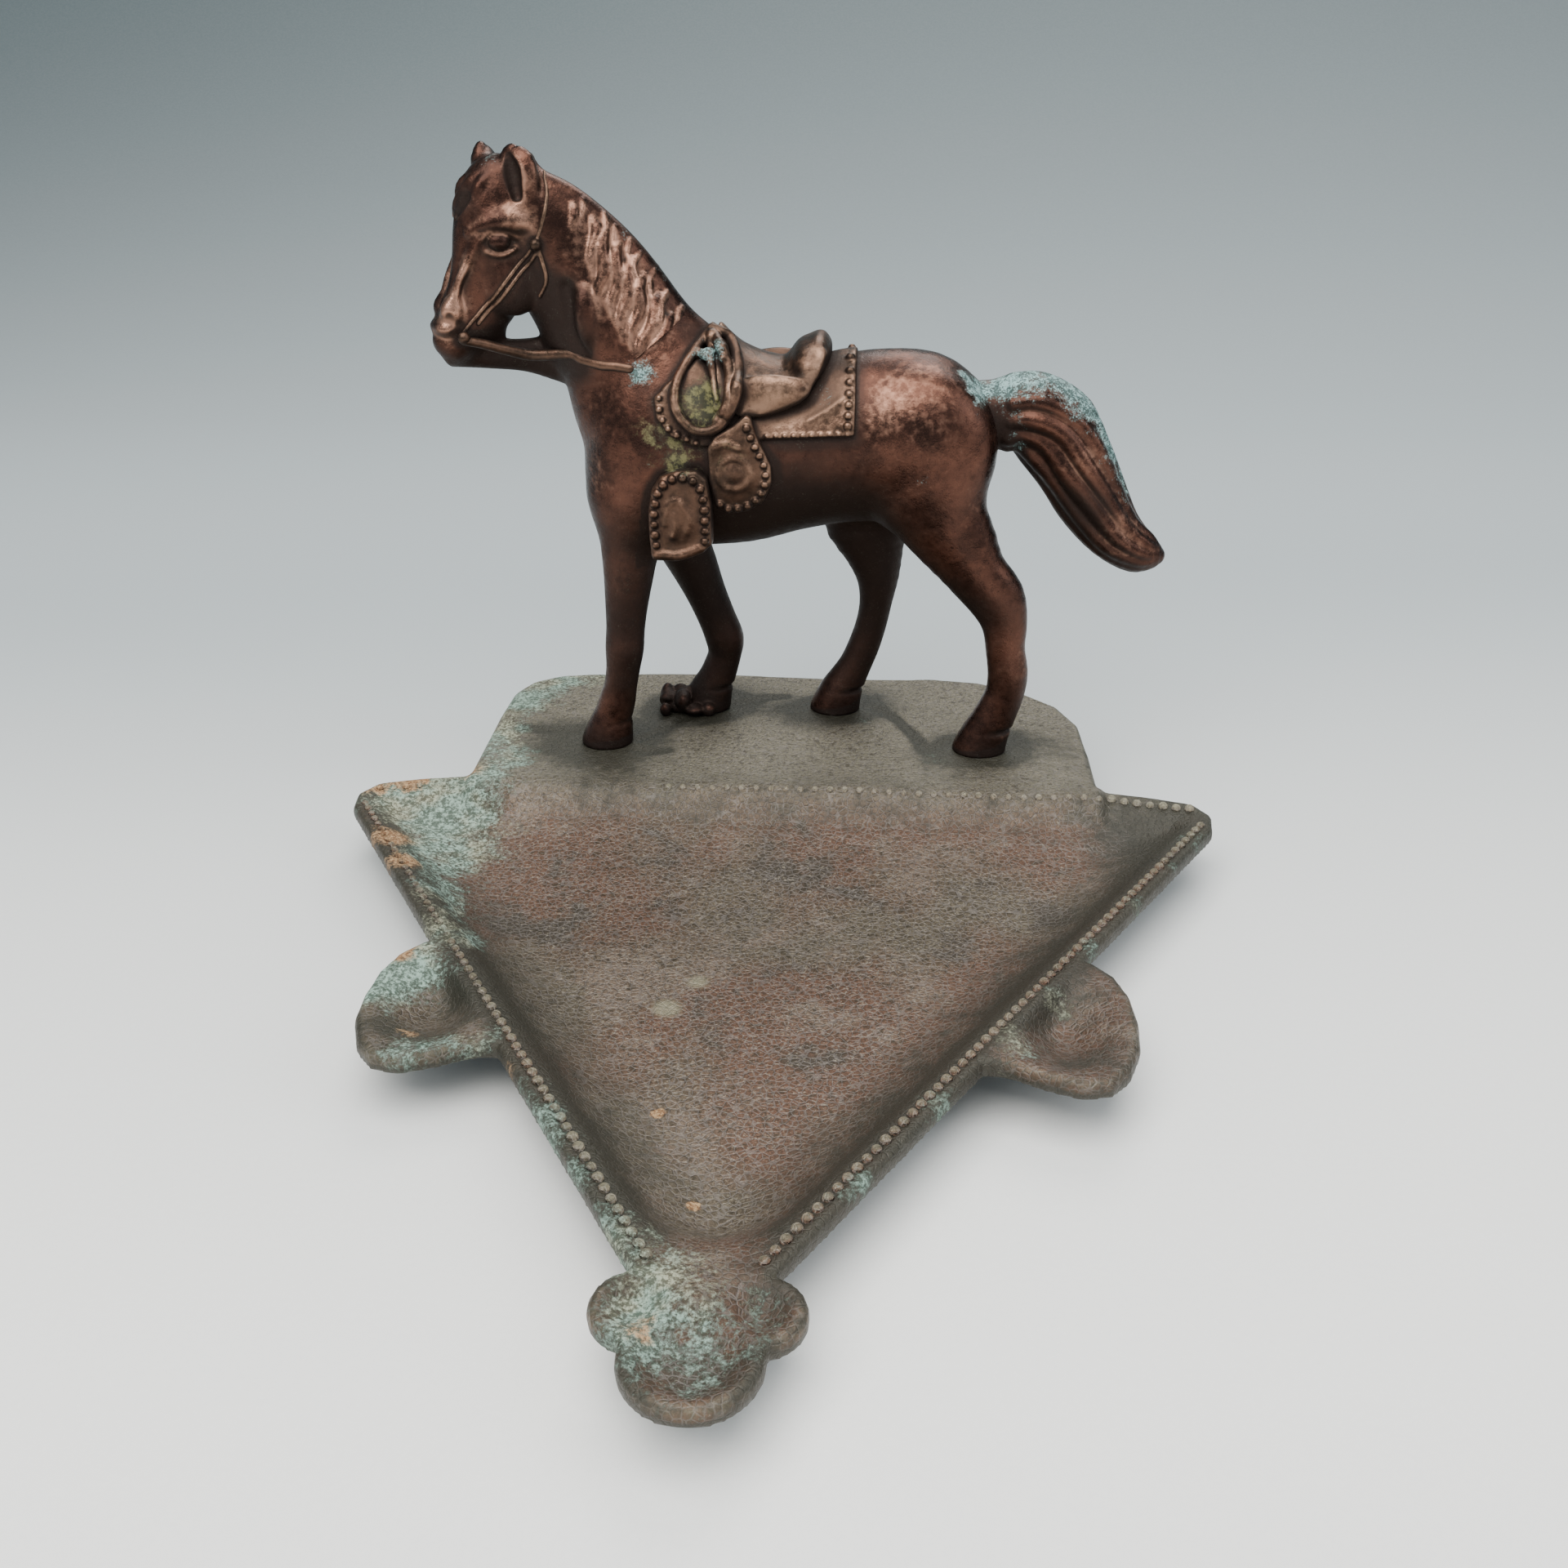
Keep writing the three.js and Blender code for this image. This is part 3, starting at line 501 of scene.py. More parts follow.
def sculpt_face(clay, s):
    """One side of the face: s is 1 for the horse's left and -1 for its right."""

    def blob(place, radii, blend, carve=False):
        forward, left, up = place
        clay.blob(on_head(forward, s * left, up), radii, blend, carve, HEAD_AXES)

    def line(rows, radius, blend, carve=False):
        clay.rope(head_path([(f, s * left, w) for f, left, w in rows]), radius, blend, carve=carve)

    blob((-3.0, 3.4, 95.6), (4.8, 2.5, 5.4), 1.2)
    blob((-3.2, 4.4, 106.0), (4.8, 2.5, 2.4), 1.4)
    brow = [(4.0, 3.2, 104.2), (1.4, 4.8, 105.4), (-2.4, 5.7, 105.8), (-6.0, 5.6, 105.2)]
    line(brow, [0.5, 0.9, 1.2, 1.0], 1.0)
    blob((-0.2, 6.6, 102.4), (3.2, 1.7, 2.0), 0.9, carve=True)
    blob((-0.5, 5.1, 102.7), (1.9, 1.4, 1.5), 0.3)
    upper_lid = [(2.6, 4.3, 102.9), (1.0, 5.2, 104.2), (-1.4, 5.6, 104.3), (-3.6, 5.5, 103.2)]
    line(upper_lid, [0.3, 0.5, 0.5, 0.3], 0.6)
    lower_lid = [(1.6, 4.7, 101.1), (-0.8, 5.3, 100.6), (-3.0, 5.6, 101.4)]
    line(lower_lid, [0.25, 0.38, 0.25], 0.8)
    nose = [(2.8, 4.0, 103.2), (4.0, 3.6, 100.8), (5.4, 3.3, 98.4), (6.6, 3.0, 96.2), (7.4, 2.8, 93.8)]
    line(nose, [0.6, 0.7, 0.7, 0.7, 0.8], 1.2)
    blob((3.4, 5.6, 97.6), (2.4, 1.1, 3.4), 1.2, carve=True)
    blob((7.8, 2.2, 91.6), (2.0, 1.8, 2.3), 1.2)
    blob((8.9, 3.9, 90.6), (0.6, 0.5, 0.8), 0.9, carve=True)
    blob((8.8, 1.2, 88.9), (2.1, 2.4, 1.4), 1.0)
    mouth = [(11.8, 0.0, 87.6), (10.6, 2.6, 87.4), (8.6, 3.6, 87.0), (6.8, 3.9, 87.3)]
    line(mouth, [0.45, 0.45, 0.4, 0.2], 0.3, carve=True)


def sculpt_ear(clay, s, tip, root, lean):
    """An upright leaf with a cup pressed into its front. lean turns its flat side (forward, left)."""
    tip, root = np.array(tip), np.array(root)
    middle = (tip + root) / 2 + (0, 0.3 * s, 0.3)
    shoulder, point = tip - (0, 0, 2.4), tip - (0, 0, 1.0)
    rows = [(root, 2.2, 3.0), (middle, 2.2, 3.4), (shoulder, 1.6, 2.5), (point, 0.8, 1.1)]
    side = FORWARD * lean[0] + LEFTWARD * s * lean[1]
    clay.tube([(*on_head(*p), a, b) for p, a, b in rows], 0.8, side=side)
    shift = np.array([lean[1], -lean[0] * s, 0]) * 2.2
    cup = [root + shift + (0, 0, 1.2), middle + shift, tip + shift * 0.75 - (0, 0, 2.0)]
    clay.rope(head_path(cup), [0.9, 1.5, 0.7], 0.5, carve=True)


def sculpt_forelock(clay):
    clay.blob(on_head(-1.0, -0.2, 111.6), (3.6, 3.6, 3.2), 1.2, axes=HEAD_AXES)
    strands = [
        [(-2.4, 1.2, 113.4), (1.2, 1.4, 112.4), (2.9, 0.4, 110.6), (3.9, -1.4, 108.2), (4.6, -2.6, 106.2)],
        [(-2.2, 0.0, 113.6), (1.3, -0.6, 112.4), (3.0, -1.8, 110.8), (3.8, -3.0, 108.2)],
        [(-2.2, -1.6, 113.2), (0.8, -2.6, 111.8), (2.2, -3.6, 110.2), (3.0, -4.0, 107.8)],
        [(-2.2, 2.4, 113.6), (0.8, 3.0, 111.8), (2.2, 2.6, 109.2), (3.6, 1.0, 106.8), (4.6, -0.8, 105.0)],
    ]
    for rows in strands:
        clay.rope(head_path(rows), [0.8] + [1.1] * (len(rows) - 2) + [0.35], 0.35)
    clay.rope(head_path([(3.6, 2.4, 109.6), (4.7, 1.4, 108.0), (5.2, 0.2, 106.8)]), 0.8, 0.5, carve=True)


def sculpt_head(clay):
    sculpt_skull(clay)
    clay.blob(on_head(7.4, 0, 86.4), (3.6, 3.0, 2.7), 1.2, axes=HEAD_AXES)


def detail_head(clay):
    for s in (1, -1):
        sculpt_face(clay, s)
    sculpt_forelock(clay)
    sculpt_ear(clay, 1, (-4.6, 3.2, 117.8), (-5.6, 4.6, 108.6), (-0.64, 0.77))
    sculpt_ear(clay, -1, (-1.4, -4.0, 117.8), (-2.2, -3.6, 110.0), (-0.5, 0.86))
    clay.tube([(*on_head(-7.6, 2.0, 111.6), 2.2, 2.2), (*on_head(-7.2, 2.2, 114.8), 1.4, 1.8)], 1.4)


def detail_neck(clay):
    """The mane, the hollow under the jaw and the web of metal between chin, rein and throat."""
    clay.tube([(-57.0, MID - 6.6, 84.6, 2.8, 1.8), (-51.5, MID - 3.9, 83.6, 2.6, 1.6),
               (-45.5, MID - 1.6, 82.9, 2.9, 1.8), (-39.5, MID, 82.2, 4.4, 2.4)], 1.2)
    clay.blob(on_head(1.6, 0, 87.4), (3.4, 1.6, 3.2), 1.0, axes=HEAD_AXES)
    clay.blob((-38.5, MID - 1.0, 90), (3.4, 3.4, 9.5), 2.0)
    clay.blob((-33.8, MID - 6.0, 89.8), (2.8, 2.9, 6.2), 0.8)
    groove = [(-36.8, 95.0), (-36.4, 91.5), (-36.2, 88.0), (-34.5, 84.2)]
    clay.rope(clay.on_side(groove, 0.3), 0.9, 1.4, carve=True)
    for s in (-1, 1):
        for width, path in LOCKS:
            for shift, share in ((0, 1.15), (1.5, 0.6)):
                line = np.array(path) + rng.uniform(-0.3, 0.3, (len(path), 2)) + (shift, 0.5 * shift)
                line[0] = (line[0] + line[1]) / 2
                laid = clay.on_side(line, -0.3 * width, s)
                along = np.linspace(0, 1, len(path))
                taper = share * width * np.interp(along, [0, 0.4, 1], [0.6, 1.2, 0.3])
                clay.rope(laid, taper, 0.5)


def detail_legs(clay):
    """The line above each hoof and the solder round the front right hoof."""
    for hoof_y, _, rows in LEGS.values():
        x, _, in_plane, lateral = rows[-1]
        ring = [(x + 0.5 + in_plane * math.cos(t), hoof_y + lateral * math.sin(t), PLINTH + 4.6)
                for t in np.linspace(0, 2 * math.pi, 13)]
        clay.rope(ring, 0.3, 0.8, steps=1, carve=True)
    x, _, _, _ = LEGS["leg_front_right"][2][-1]
    for _ in range(SOLDER_LUMPS):
        ahead = rng.uniform(-8.0, 2.5)
        across = rng.uniform(-5.0, 2.5)
        up = rng.uniform(0, 3.0 if ahead < -2 else 1.2)
        clay.blob((x + ahead, FARSIDE + across, PLINTH + up), rng.uniform(0.9, 1.9, 3), 0.5)


# The tail from its root to its tip, as (x, z, in-plane radius, lateral radius).
TAIL = [
    (37.4, 72.8, 5.6, 4.4), (39.4, 73.4, 6.4, 4.9), (43.2, 73.2, 7.1, 5.4), (47.5, 70.0, 7.5, 5.8),
    (50.9, 64.4, 6.7, 5.8), (54.6, 57.8, 5.9, 5.4), (59.2, 51.7, 4.9, 4.6), (64.0, 48.2, 3.6, 3.4),
    (66.9, 47.6, 1.8, 2.0),
]


def tail_strand(start):
    """Stations of one strand of hair, which winds slowly round the tail from the angle start."""
    line = np.array(TAIL)[1:]
    stations = []
    for n, (x, z, in_plane, lateral) in enumerate(line):
        turn = start + 0.16 * n + rng.uniform(-0.06, 0.06)
        ahead = line[min(n + 1, len(line) - 1), :2] - line[max(n - 1, 0), :2]
        normal = np.array([-ahead[1], ahead[0]]) / np.hypot(*ahead)
        out = in_plane * 0.82 * math.cos(turn)
        width = 0.31 * min(in_plane, lateral) * rng.uniform(0.85, 1.15)
        stations.append((x + normal[0] * out, MID + lateral * 0.84 * math.sin(turn),
                         z + normal[1] * out, width, width))
    return stations


def sculpt_tail(clay):
    clay.tube(on_mid(TAIL), 0)
    clay.tube(on_mid([(34.5, 72.8, 6.0, 5.0), (38.0, 72.8, 6.0, 4.9)]), 0.8)
    for k in range(TAIL_STRANDS):
        clay.tube(tail_strand(k / TAIL_STRANDS * 2 * math.pi), 0.5, side=(0.3, 0.9, 0.2))


def sculpt_horse(clay):
    sculpt_torso(clay)
    sculpt_legs(clay)
    sculpt_neck(clay)
    sculpt_head(clay)
    clay.soften(0.5)
    detail_legs(clay)


# ---- The tack -----------------------------------------------------------------------------------

SKY = 96.0  # above the whole saddle, where an outline runs off over the horse's back
TACK_CELL = 0.25
LARIAT_LUMPS = 9

BLANKET = [
    (-12.2, SKY), (12.2, SKY), (12.5, 78), (12.4, 71.8), (4, 71.4), (-2.8, 71.2), (-8, 70.4),
    (-14.6, 69.8), (-19.0, 71.6), (-21.4, 74.6), (-21.9, 78.0), (-19.8, 80.2), (-16.4, 82.6), (-13.6, 85),
]
SEAT = [
    (-11.8, SKY), (8.2, SKY), (7.6, 87.6), (6.8, 84.4), (5.4, 81.2), (2.3, 78.2), (-0.4, 76.5),
    (-3.3, 75.4), (-6.6, 75.1), (-11.8, 76),
]
FENDER = [
    (-6.0, 75.8), (-8.4, 73.8), (-11.4, 72.2), (-12.7, 70.0), (-12.6, 64.5), (-11.6, 59.4), (-9.4, 58.1),
    (-6.0, 58.6), (-3.2, 60.4), (-1.7, 64.0), (-1.8, 67.0), (-3.2, 70.0), (-4.5, 72.6), (-5.2, 75.2),
]
TAPADERO = [
    (-22.9, 50.2), (-23.3, 54), (-23.3, 59), (-22.6, 62.8), (-21.0, 65.2), (-18, 66.3), (-14.6, 66.4),
    (-12.8, 64.8), (-12.2, 60.5), (-12.2, 53.0), (-14.8, 51.4), (-18.2, 50.1),
]
TAPADERO_Y = NEAR - 4.6
TAPADERO_HALF = 2.2  # half its thickness


def near_window(low_x, high_x, low_z, high_z):
    """A clay over the horse's left side."""
    return Clay((low_x, MID - 17.5, low_z), (high_x, MID + 1, high_z), TACK_CELL)


def make_blanket(horse):
    clay = Clay((-24, MID - 16.5, 68), (15, MID + 16.5, 92), 0.3)
    clay.drape(horse, BLANKET, 0.8)
    fold = [(10.2, 77.6), (7.6, 75.8), (4.6, 74.2)]
    back = ([(11.3, 83.4), (11.3, 79), (11.2, 73.6)], 1.75, 0.76)
    bottom = ([(11.2, 72.4), (4, 72.1), (-2.6, 71.9)], 1.6, 0.5)
    front = ([(-20.9, 78), (-20.6, 75.2), (-18.7, 72.6), (-14.6, 70.8)], 1.7, 0.66)
    for side in (-1, 1):
        clay.rope(clay.on_side(evenly(fold, 1.2), -0.25, side), 0.55, 0.9)
    clay.soften(0.3)
    for side in (-1, 1):
        for row, pitch, radius in (back, bottom, front):
            clay.beads(clay.on_side(evenly(row, pitch), -0.1, side), radius)
    return clay


def make_seat(under):
    clay = Clay((-17, MID - 16.5, 72), (10, MID + 16.5, 92), 0.3)
    clay.drape(under, SEAT, 1.0, rounding=0.8)
    clay.blob((4.2, MID, 82.4), (3.6, 9.6, 3.8), 1.8)
    clay.blob((5.9, MID, 84.8), (1.7, 6.2, 2.2), 1.6)
    clay.blob((-11.6, MID, 83.2), (3.0, 8.0, 3.2), 1.6)
    roll = [(6.6, 84.6), (5.0, 81.2), (2.2, 78.6), (-0.6, 76.9), (-3.3, 75.9), (-6.4, 75.6)]
    for side in (-1, 1):
        clay.rope(clay.on_side(evenly(roll, 1.2), -0.25, side), 0.6, 0.9)
        clay.blob((-2.0, MID + side * 11.2, 79.4), (6.4, 1.6, 2.6), 3.0)
    clay.soften(0.3)
    return clay


def make_fender(under):
    clay = near_window(-15, 1, 55, 79)
    clay.drape(under, FENDER, 1.3, near_only=True)
    row = [(-5.9, 73.6), (-5.0, 71.4), (-3.9, 69.2), (-2.9, 66.8), (-2.8, 64.6), (-3.4, 62.4),
           (-4.9, 60.6), (-7.0, 59.5), (-9.2, 59.3), (-10.8, 60.2)]
    x, z, radius = -8.2, 65.7, 2.7
    turns = np.linspace(0, 2 * math.pi, 17)
    ring = [(x + radius * math.cos(t), z + radius * math.sin(t)) for t in turns]
    clay.rope(clay.on_side(ring, -0.2), 0.55, 0.6, steps=1)
    boss = clay.on_side([(x, z)], -0.3)[0]
    clay.blob(boss, (1.7, 0.9, 1.7), 0.7)
    clay.rope(clay.on_side([(-11.4, 70.4), (-9.4, 71.0), (-7.4, 70.2)], -0.2), 0.5, 0.6)
    clay.soften(0.25)
    clay.beads(clay.on_side(evenly(row, 1.75), 0.0), 0.72)
    return clay


def make_tapadero():
    clay = near_window(-25, -10, 47, 69)
    clay.slab(TAPADERO, TAPADERO_Y, TAPADERO_HALF, 1.0)
    rim = [(-22.0, 53.2), (-22.2, 56), (-22.1, 59.6), (-21.2, 62.8), (-19.2, 64.8), (-16.4, 65.2),
           (-14.2, 63.8), (-13.4, 60.5), (-13.3, 56.8), (-13.4, 54.0)]
    front = TAPADERO_Y - TAPADERO_HALF

    def stroke(rows, radius, blend=0.6):
        clay.rope([(x, front + lift, z) for x, lift, z in rows], radius, blend)

    stroke([(-22.0, 0.3, 51.4), (-18.0, 0.1, 51.3), (-14.2, 0.3, 52.6)], 0.8, 0.9)
    clay.blob((-17.9, front + 0.4, 57.8), (2.9, 0.9, 3.9), 0.9)
    stroke([(-18.9, -0.3, 54.9), (-18.3, -0.4, 56.8), (-18.6, -0.2, 58.8)], 0.5)
    stroke([(-16.4, -0.1, 55.6), (-15.9, -0.2, 58.2), (-17.4, -0.1, 60.8)], 0.45)
    stroke([(-20.2, 0.1, 57.0), (-19.8, 0.0, 59.6), (-18.6, 0.0, 61.2)], 0.45)
    clay.soften(0.25)
    clay.beads(clay.on_side(evenly(rim, 1.9), 0.0), 0.82)
    return clay


def make_lariat(under):
    """The coiled rope that hangs from the front of the saddle on the left."""
    clay = near_window(-21, -4, 70, 93)
    outer = [(-12.6, 88.0), (-15.4, 84.8), (-17.9, 80.6), (-17.8, 76.4), (-15.0, 73.2), (-11.6, 73.2),
             (-9.2, 75.6), (-7.6, 79.6), (-8.2, 84.2), (-10.2, 87.0), (-12.6, 88.0)]
    inner = [(-12.0, 87.2), (-10.0, 84.6), (-8.9, 80.8), (-9.3, 77.2), (-11.0, 74.6)]
    leaf = [(-12.6, 87.0), (-12.4, 84.0), (-11.8, 81.0), (-11.0, 78.0)]
    path = evenly(outer, 1.0)
    thick = 0.8 + 0.25 * ramp(path[:, 0], -14, -9)
    clay.rope(under.on_side(path, 1.1), thick, 0.3)
    path = evenly(inner, 1.0)
    clay.rope(under.on_side(path, 1.2), 0.9, 0.2)
    path = evenly(leaf, 1.0)
    swell = np.interp(np.linspace(0, 1, len(path)), [0, 0.5, 1], [0.5, 0.9, 0.4])
    clay.rope(under.on_side(path, 0.4), swell, 0.3)
    for _ in range(LARIAT_LUMPS):
        knot = (-12.4 + rng.uniform(-2.4, 2.4), 86.2 + rng.uniform(-2.2, 1.4))
        clay.blob(under.on_side([knot], 1.4)[0], rng.uniform(0.7, 1.3, 3), 0.5)
    return clay


def strap(clay, under, rows, radius, lift):
    """A narrow leather strap pressed onto the head, from rough places near its surface."""
    path = under.onto(evenly(head_path(rows), 0.8), lift)
    clay.rope(path, radius, 0.3, steps=1)


def make_headstall(head):
    clay = Clay((-66, MID - 17, 84), (-36, MID + 8, 118), 0.22)
    cheek = [(-6.2, 6.6, 102.0), (-3.2, 6.6, 98.9), (-0.6, 6.2, 96.1), (2.1, 5.6, 92.9), (4.6, 5.2, 90.1),
             (6.6, 4.6, 87.8)]
    behind_cheek = [(forward - 0.8, left, up - 0.8) for forward, left, up in cheek[:-1]]
    throat = [(-6.8, 6.8, 101.6), (-7.6, 6.8, 99.0), (-8.4, 6.4, 96.4), (-8.4, 4.6, 94.0)]
    crown = [(-6.6, 6.8, 102.6), (-7.8, 6.6, 105.4), (-8.8, 5.6, 108.4), (-9.0, 3.6, 111.6)]
    for s in (1, -1):
        for rows, radius, lift in ((cheek, 0.4, 0.0), (behind_cheek, 0.4, 0.0), (throat, 0.42, 0.0),
                                   (crown, 0.38, -0.15)):
            strap(clay, head, [(forward, s * left, up) for forward, left, up in rows], radius, lift)
        knob = head.onto([on_head(-6.4, s * 6.8, 102.2)], 0.3)[0]
        clay.blob(knob, (1.0, 1.0, 1.0), 0.3)
    return clay


def make_bit():
    clay = Clay((-64, MID - 14, 84), (-50, MID + 4, 91), 0.22)
    bar = head_path([(6.9, -4.8, 87.5), (6.9, 0, 87.3), (6.9, 4.8, 87.5)])
    clay.rope(bar, 0.6, 0.3, steps=1)
    for s in (1, -1):
        clay.blob(on_head(6.8, s * 4.5, 87.5), (1.1, 0.8, 1.1), 0.3, axes=HEAD_AXES)
    return clay


def make_reins(under):
    """Both reins run back from the bit over the web and along the neck's sides."""
    clay = Clay((-64, MID - 14, 76), (-22, MID + 13, 92), 0.25)
    near = [(*on_head(6.8, 4.4, 87.0), 0.7, 0.7), (-51.6, MID - 9.0, 86.3, 0.85, 0.8),
            (-48.0, MID - 6.6, 84.8, 0.9, 0.8), (-43.8, MID - 4.6, 83.5, 1.0, 0.8)]
    far = [(*on_head(6.8, -4.4, 87.0), 0.7, 0.7), (-54.0, MID - 1.0, 85.9, 0.85, 0.8),
           (-49.0, MID + 0.2, 84.5, 0.9, 0.8), (-44.2, MID + 1.4, 83.5, 1.0, 0.8)]
    for start, s in ((near, -1), (far, 1)):
        rough = [(x, MID + s * (4.6 + 5.8 * ramp(-x, -41, -30)), z)
                 for x, z in ((-39.6, 83.0), (-36, 82.9), (-32, 82.9), (-28.8, 82.9), (-26.2, 82.6))]
        side = under.onto(rough, -0.3)
        clay.tube(start + [(*p, 0.9, 0.7) for p in side], 0.3, steps=6)
    return clay


# ---- The tray -----------------------------------------------------------------------------------

RIM_Z = 10.5
FLOOR_Z = 3.0
TRAY_WALL = 2.8
TRAY_CELL = 0.72
RIM_WIDTH = 3.6
BARB_TIP = (76.3, 38.6)
BARB_LOW = (75.6, 33.6)
TRAY_NECK = (8.8, -74.6)
BEAD_INSET = 2.3
DISH = 15.0  # how far the pan's sides take to fall from the rim to the floor
REST = [
    (50.2, -8.6), (53.6, -12.6), (55.2, -17.6), (55.6, -23.5), (55.2, -29.5), (53.2, -35), (50.4, -38.2),
    (46.4, -39.0), (41.6, -37.4), (37.0, -35.0), (33.8, -34.6),
]
REST_MIDDLE = (45.2, -24.0, 9.0, 13.5)  # the dish in a rest, as x, y and its two half-widths
REST_ROOT = [(24, -32), (40, -8)]  # closes a rest's outline well inside the pan
PLINTH_OUTLINE = [
    (-57.4, 41), (-58.0, 60), (-58.2, 72), (-57.6, 82), (-54.6, 89), (-49.5, 92.6), (-43, 93.8), (0, 94.2),
    (28, 94.0), (38, 92.2), (46.5, 87.8), (52.8, 81.8), (56.2, 73), (57.0, 60), (57.4, 41),
]
LOBES = [(7.0, -80.7, 5.4), (-7.0, -80.7, 5.4), (0, -87.2, 8.2)]  # the trefoil, as (x, y, radius)
STEP_FOOT, STEP_HEAD = 37.5, 43.8  # between these the pan climbs to the plinth
TIP_FROM, TIP_TO = -72, -77  # between these the pan turns into the trefoil
SCARS = [
    [(-52, 65.4), (-47, 64.8), (-41.5, 64.9)],
    [(-28.6, 60.6), (-25, 64.5), (-22.4, 70.4), (-17, 75), (-11.5, 78.8), (-6, 82), (-1.5, 83.4)],
    [(16.8, 78), (20.6, 73.6), (22.6, 69.6), (25, 64), (26.6, 59.2), (30.8, 64)],
    [(-30, 57.5), (-26, 55.8), (-22, 56.4)],
]


def mirrored(points):
    return [(-x, y) for x, y in points]


def both_sides(points):
    """A closed outline from its right half."""
    return points + mirrored(points)[::-1]


SHIELD = both_sides([
    (0.01, 47.5), (57.5, 47), (66, 45.4), (73.6, 43.0), BARB_TIP, BARB_LOW, TRAY_NECK, (5.5, -79.0),
    (0.01, -80),
])


def line_of(a, b, inset):
    """The ends of a straight edge, moved to the right of its direction by inset."""
    a, b = np.array(a, float), np.array(b, float)
    ahead = (b - a) / np.linalg.norm(b - a)
    shift = inset * np.array([ahead[1], -ahead[0]])
    return [a + shift, b + shift]


def pair_distance(x, y, outline):
    """Signed distance to an outline or to its mirror image, whichever is nearer."""
    return np.minimum(outline_distance(x, y, outline), outline_distance(x, y, mirrored(outline)))


def pan_height(x, y, inset):
    """The dish: a raised rim, then a side that falls to the floor, which climbs towards the plinth."""
    fall = RIM_Z - FLOOR_Z
    height = RIM_Z + 0.45 * np.exp(-((inset - 0.9) / 0.7) ** 2) - 0.35 * ramp(inset, 1.2, 2.2)
    run = np.clip((inset - RIM_WIDTH) / DISH, 0, 1)
    depth = (1 - (1 - run) ** 2.4) * ramp(run, -0.2, 0.25) * ramp(y, -74, -60)
    rise = 0.42 * ramp(y, 6, 42) + 0.06 * ramp(np.abs(x), 4, 30)
    return height - (fall - 0.35) * depth * (1 - rise)


def rest_height(x, y, inset):
    """A cigarette rest: an oval scoop with a raised edge."""
    across = np.hypot((np.abs(x) - REST_MIDDLE[0]) / REST_MIDDLE[2], (y - REST_MIDDLE[1]) / REST_MIDDLE[3])
    return RIM_Z + 0.4 * np.exp(-((inset - 0.8) / 0.7) ** 2) - 3.6 * (1 - ramp(across, 0.0, 1.0))


def trefoil_height(x, y, lobes):
    """The tip: a hollow in each lobe and a boss between them."""
    hollow = np.maximum.reduce([ramp(-d, 1.0, 4.6) for d in lobes])
    ridge = np.exp(-(x ** 2 + (y + 80.5) ** 2) / 12)
    return RIM_Z + 0.3 - 1.7 * hollow + 1.0 * ridge


def plinth_height(x, y):
    """The plinth's top: nearly flat, with hairline scars."""
    top = PLINTH + 0.25 * np.sin(x * 0.11 + 0.6) * np.sin(y * 0.19) - 0.25
    for scar in SCARS:
        top = top - 0.5 * np.exp(-(path_distance(x, y, scar) / 0.6) ** 2)
    return top


def tray_top(x, y):
    """Height of the tray's upper face, and signed distances to its outline and the plinth's."""
    pan = outline_distance(x, y, SHIELD)
    rest = pair_distance(x, y, REST)
    joined_rest = pair_distance(x, y, REST + REST_ROOT)
    plinth = outline_distance(x, y, PLINTH_OUTLINE)
    lobes = [np.hypot(x - cx, y - cy) - r for cx, cy, r in LOBES]
    trefoil = smooth_min(smooth_min(lobes[0], lobes[1], 0.6), lobes[2], 0.6)
    trefoil = np.minimum(trefoil, np.hypot(x, y + 79.5) - 8.3)
    height = np.where(rest < 0, rest_height(x, y, -rest), pan_height(x, y, -pan))
    share = ramp(y, TIP_FROM, TIP_TO)
    leaf = trefoil_height(x, y, lobes)
    height = np.where(y < TIP_FROM, height * (1 - share) + leaf * share, height)
    step = ramp(y, STEP_FOOT, STEP_HEAD) * (np.abs(x) < 57.6)
    height = height + (plinth_height(x, y) - height) * step
    outline = smooth_min(np.minimum.reduce([pan, joined_rest, plinth]), trefoil, 0.8)
    return height, outline, plinth


def make_tray():
    clay = Clay((-78.5, -99, -1.2), (78.5, 96.5, 13.8), TRAY_CELL)
    grid_x, grid_y, z = clay.everywhere()
    x, y = grid_x[:, :, 0], grid_y[:, :, 0]
    height, outline, plinth = tray_top(x, y)
    # The top is softened twice. The underside lies TRAY_WALL below it, and no lower than the table.
    for _ in range(2):
        padded = np.pad(height, 1, mode="edge")
        height = (padded[1:-1, :-2] + padded[1:-1, 2:] + padded[:-2, 1:-1] + padded[2:, 1:-1]
                  + 2 * padded[1:-1, 1:-1]) / 6
    height = height + 0.06 * np.sin(x * 0.31 + 1) * np.sin(y * 0.27)
    gx, gy = np.gradient(height, clay.cell)
    steep = np.sqrt(1 + gx ** 2 + gy ** 2)[:, :, None]
    under = np.maximum(height - TRAY_WALL * steep[:, :, 0], 0)
    hollow = ramp(-plinth, 2.2, 3.4) * ramp(y, 40, 44)
    under = under + (PLINTH - 2.6 - under) * hollow
    under = np.where((y > 44) & (plinth < 1.0), under * hollow, under)
    body = smooth_max((z - height[:, :, None]) / steep, outline[:, :, None] + 0 * z, 1.3)
    clay.d = smooth_max(body, (under[:, :, None] - z) / steep, 0.6).astype(np.float32)
    return clay


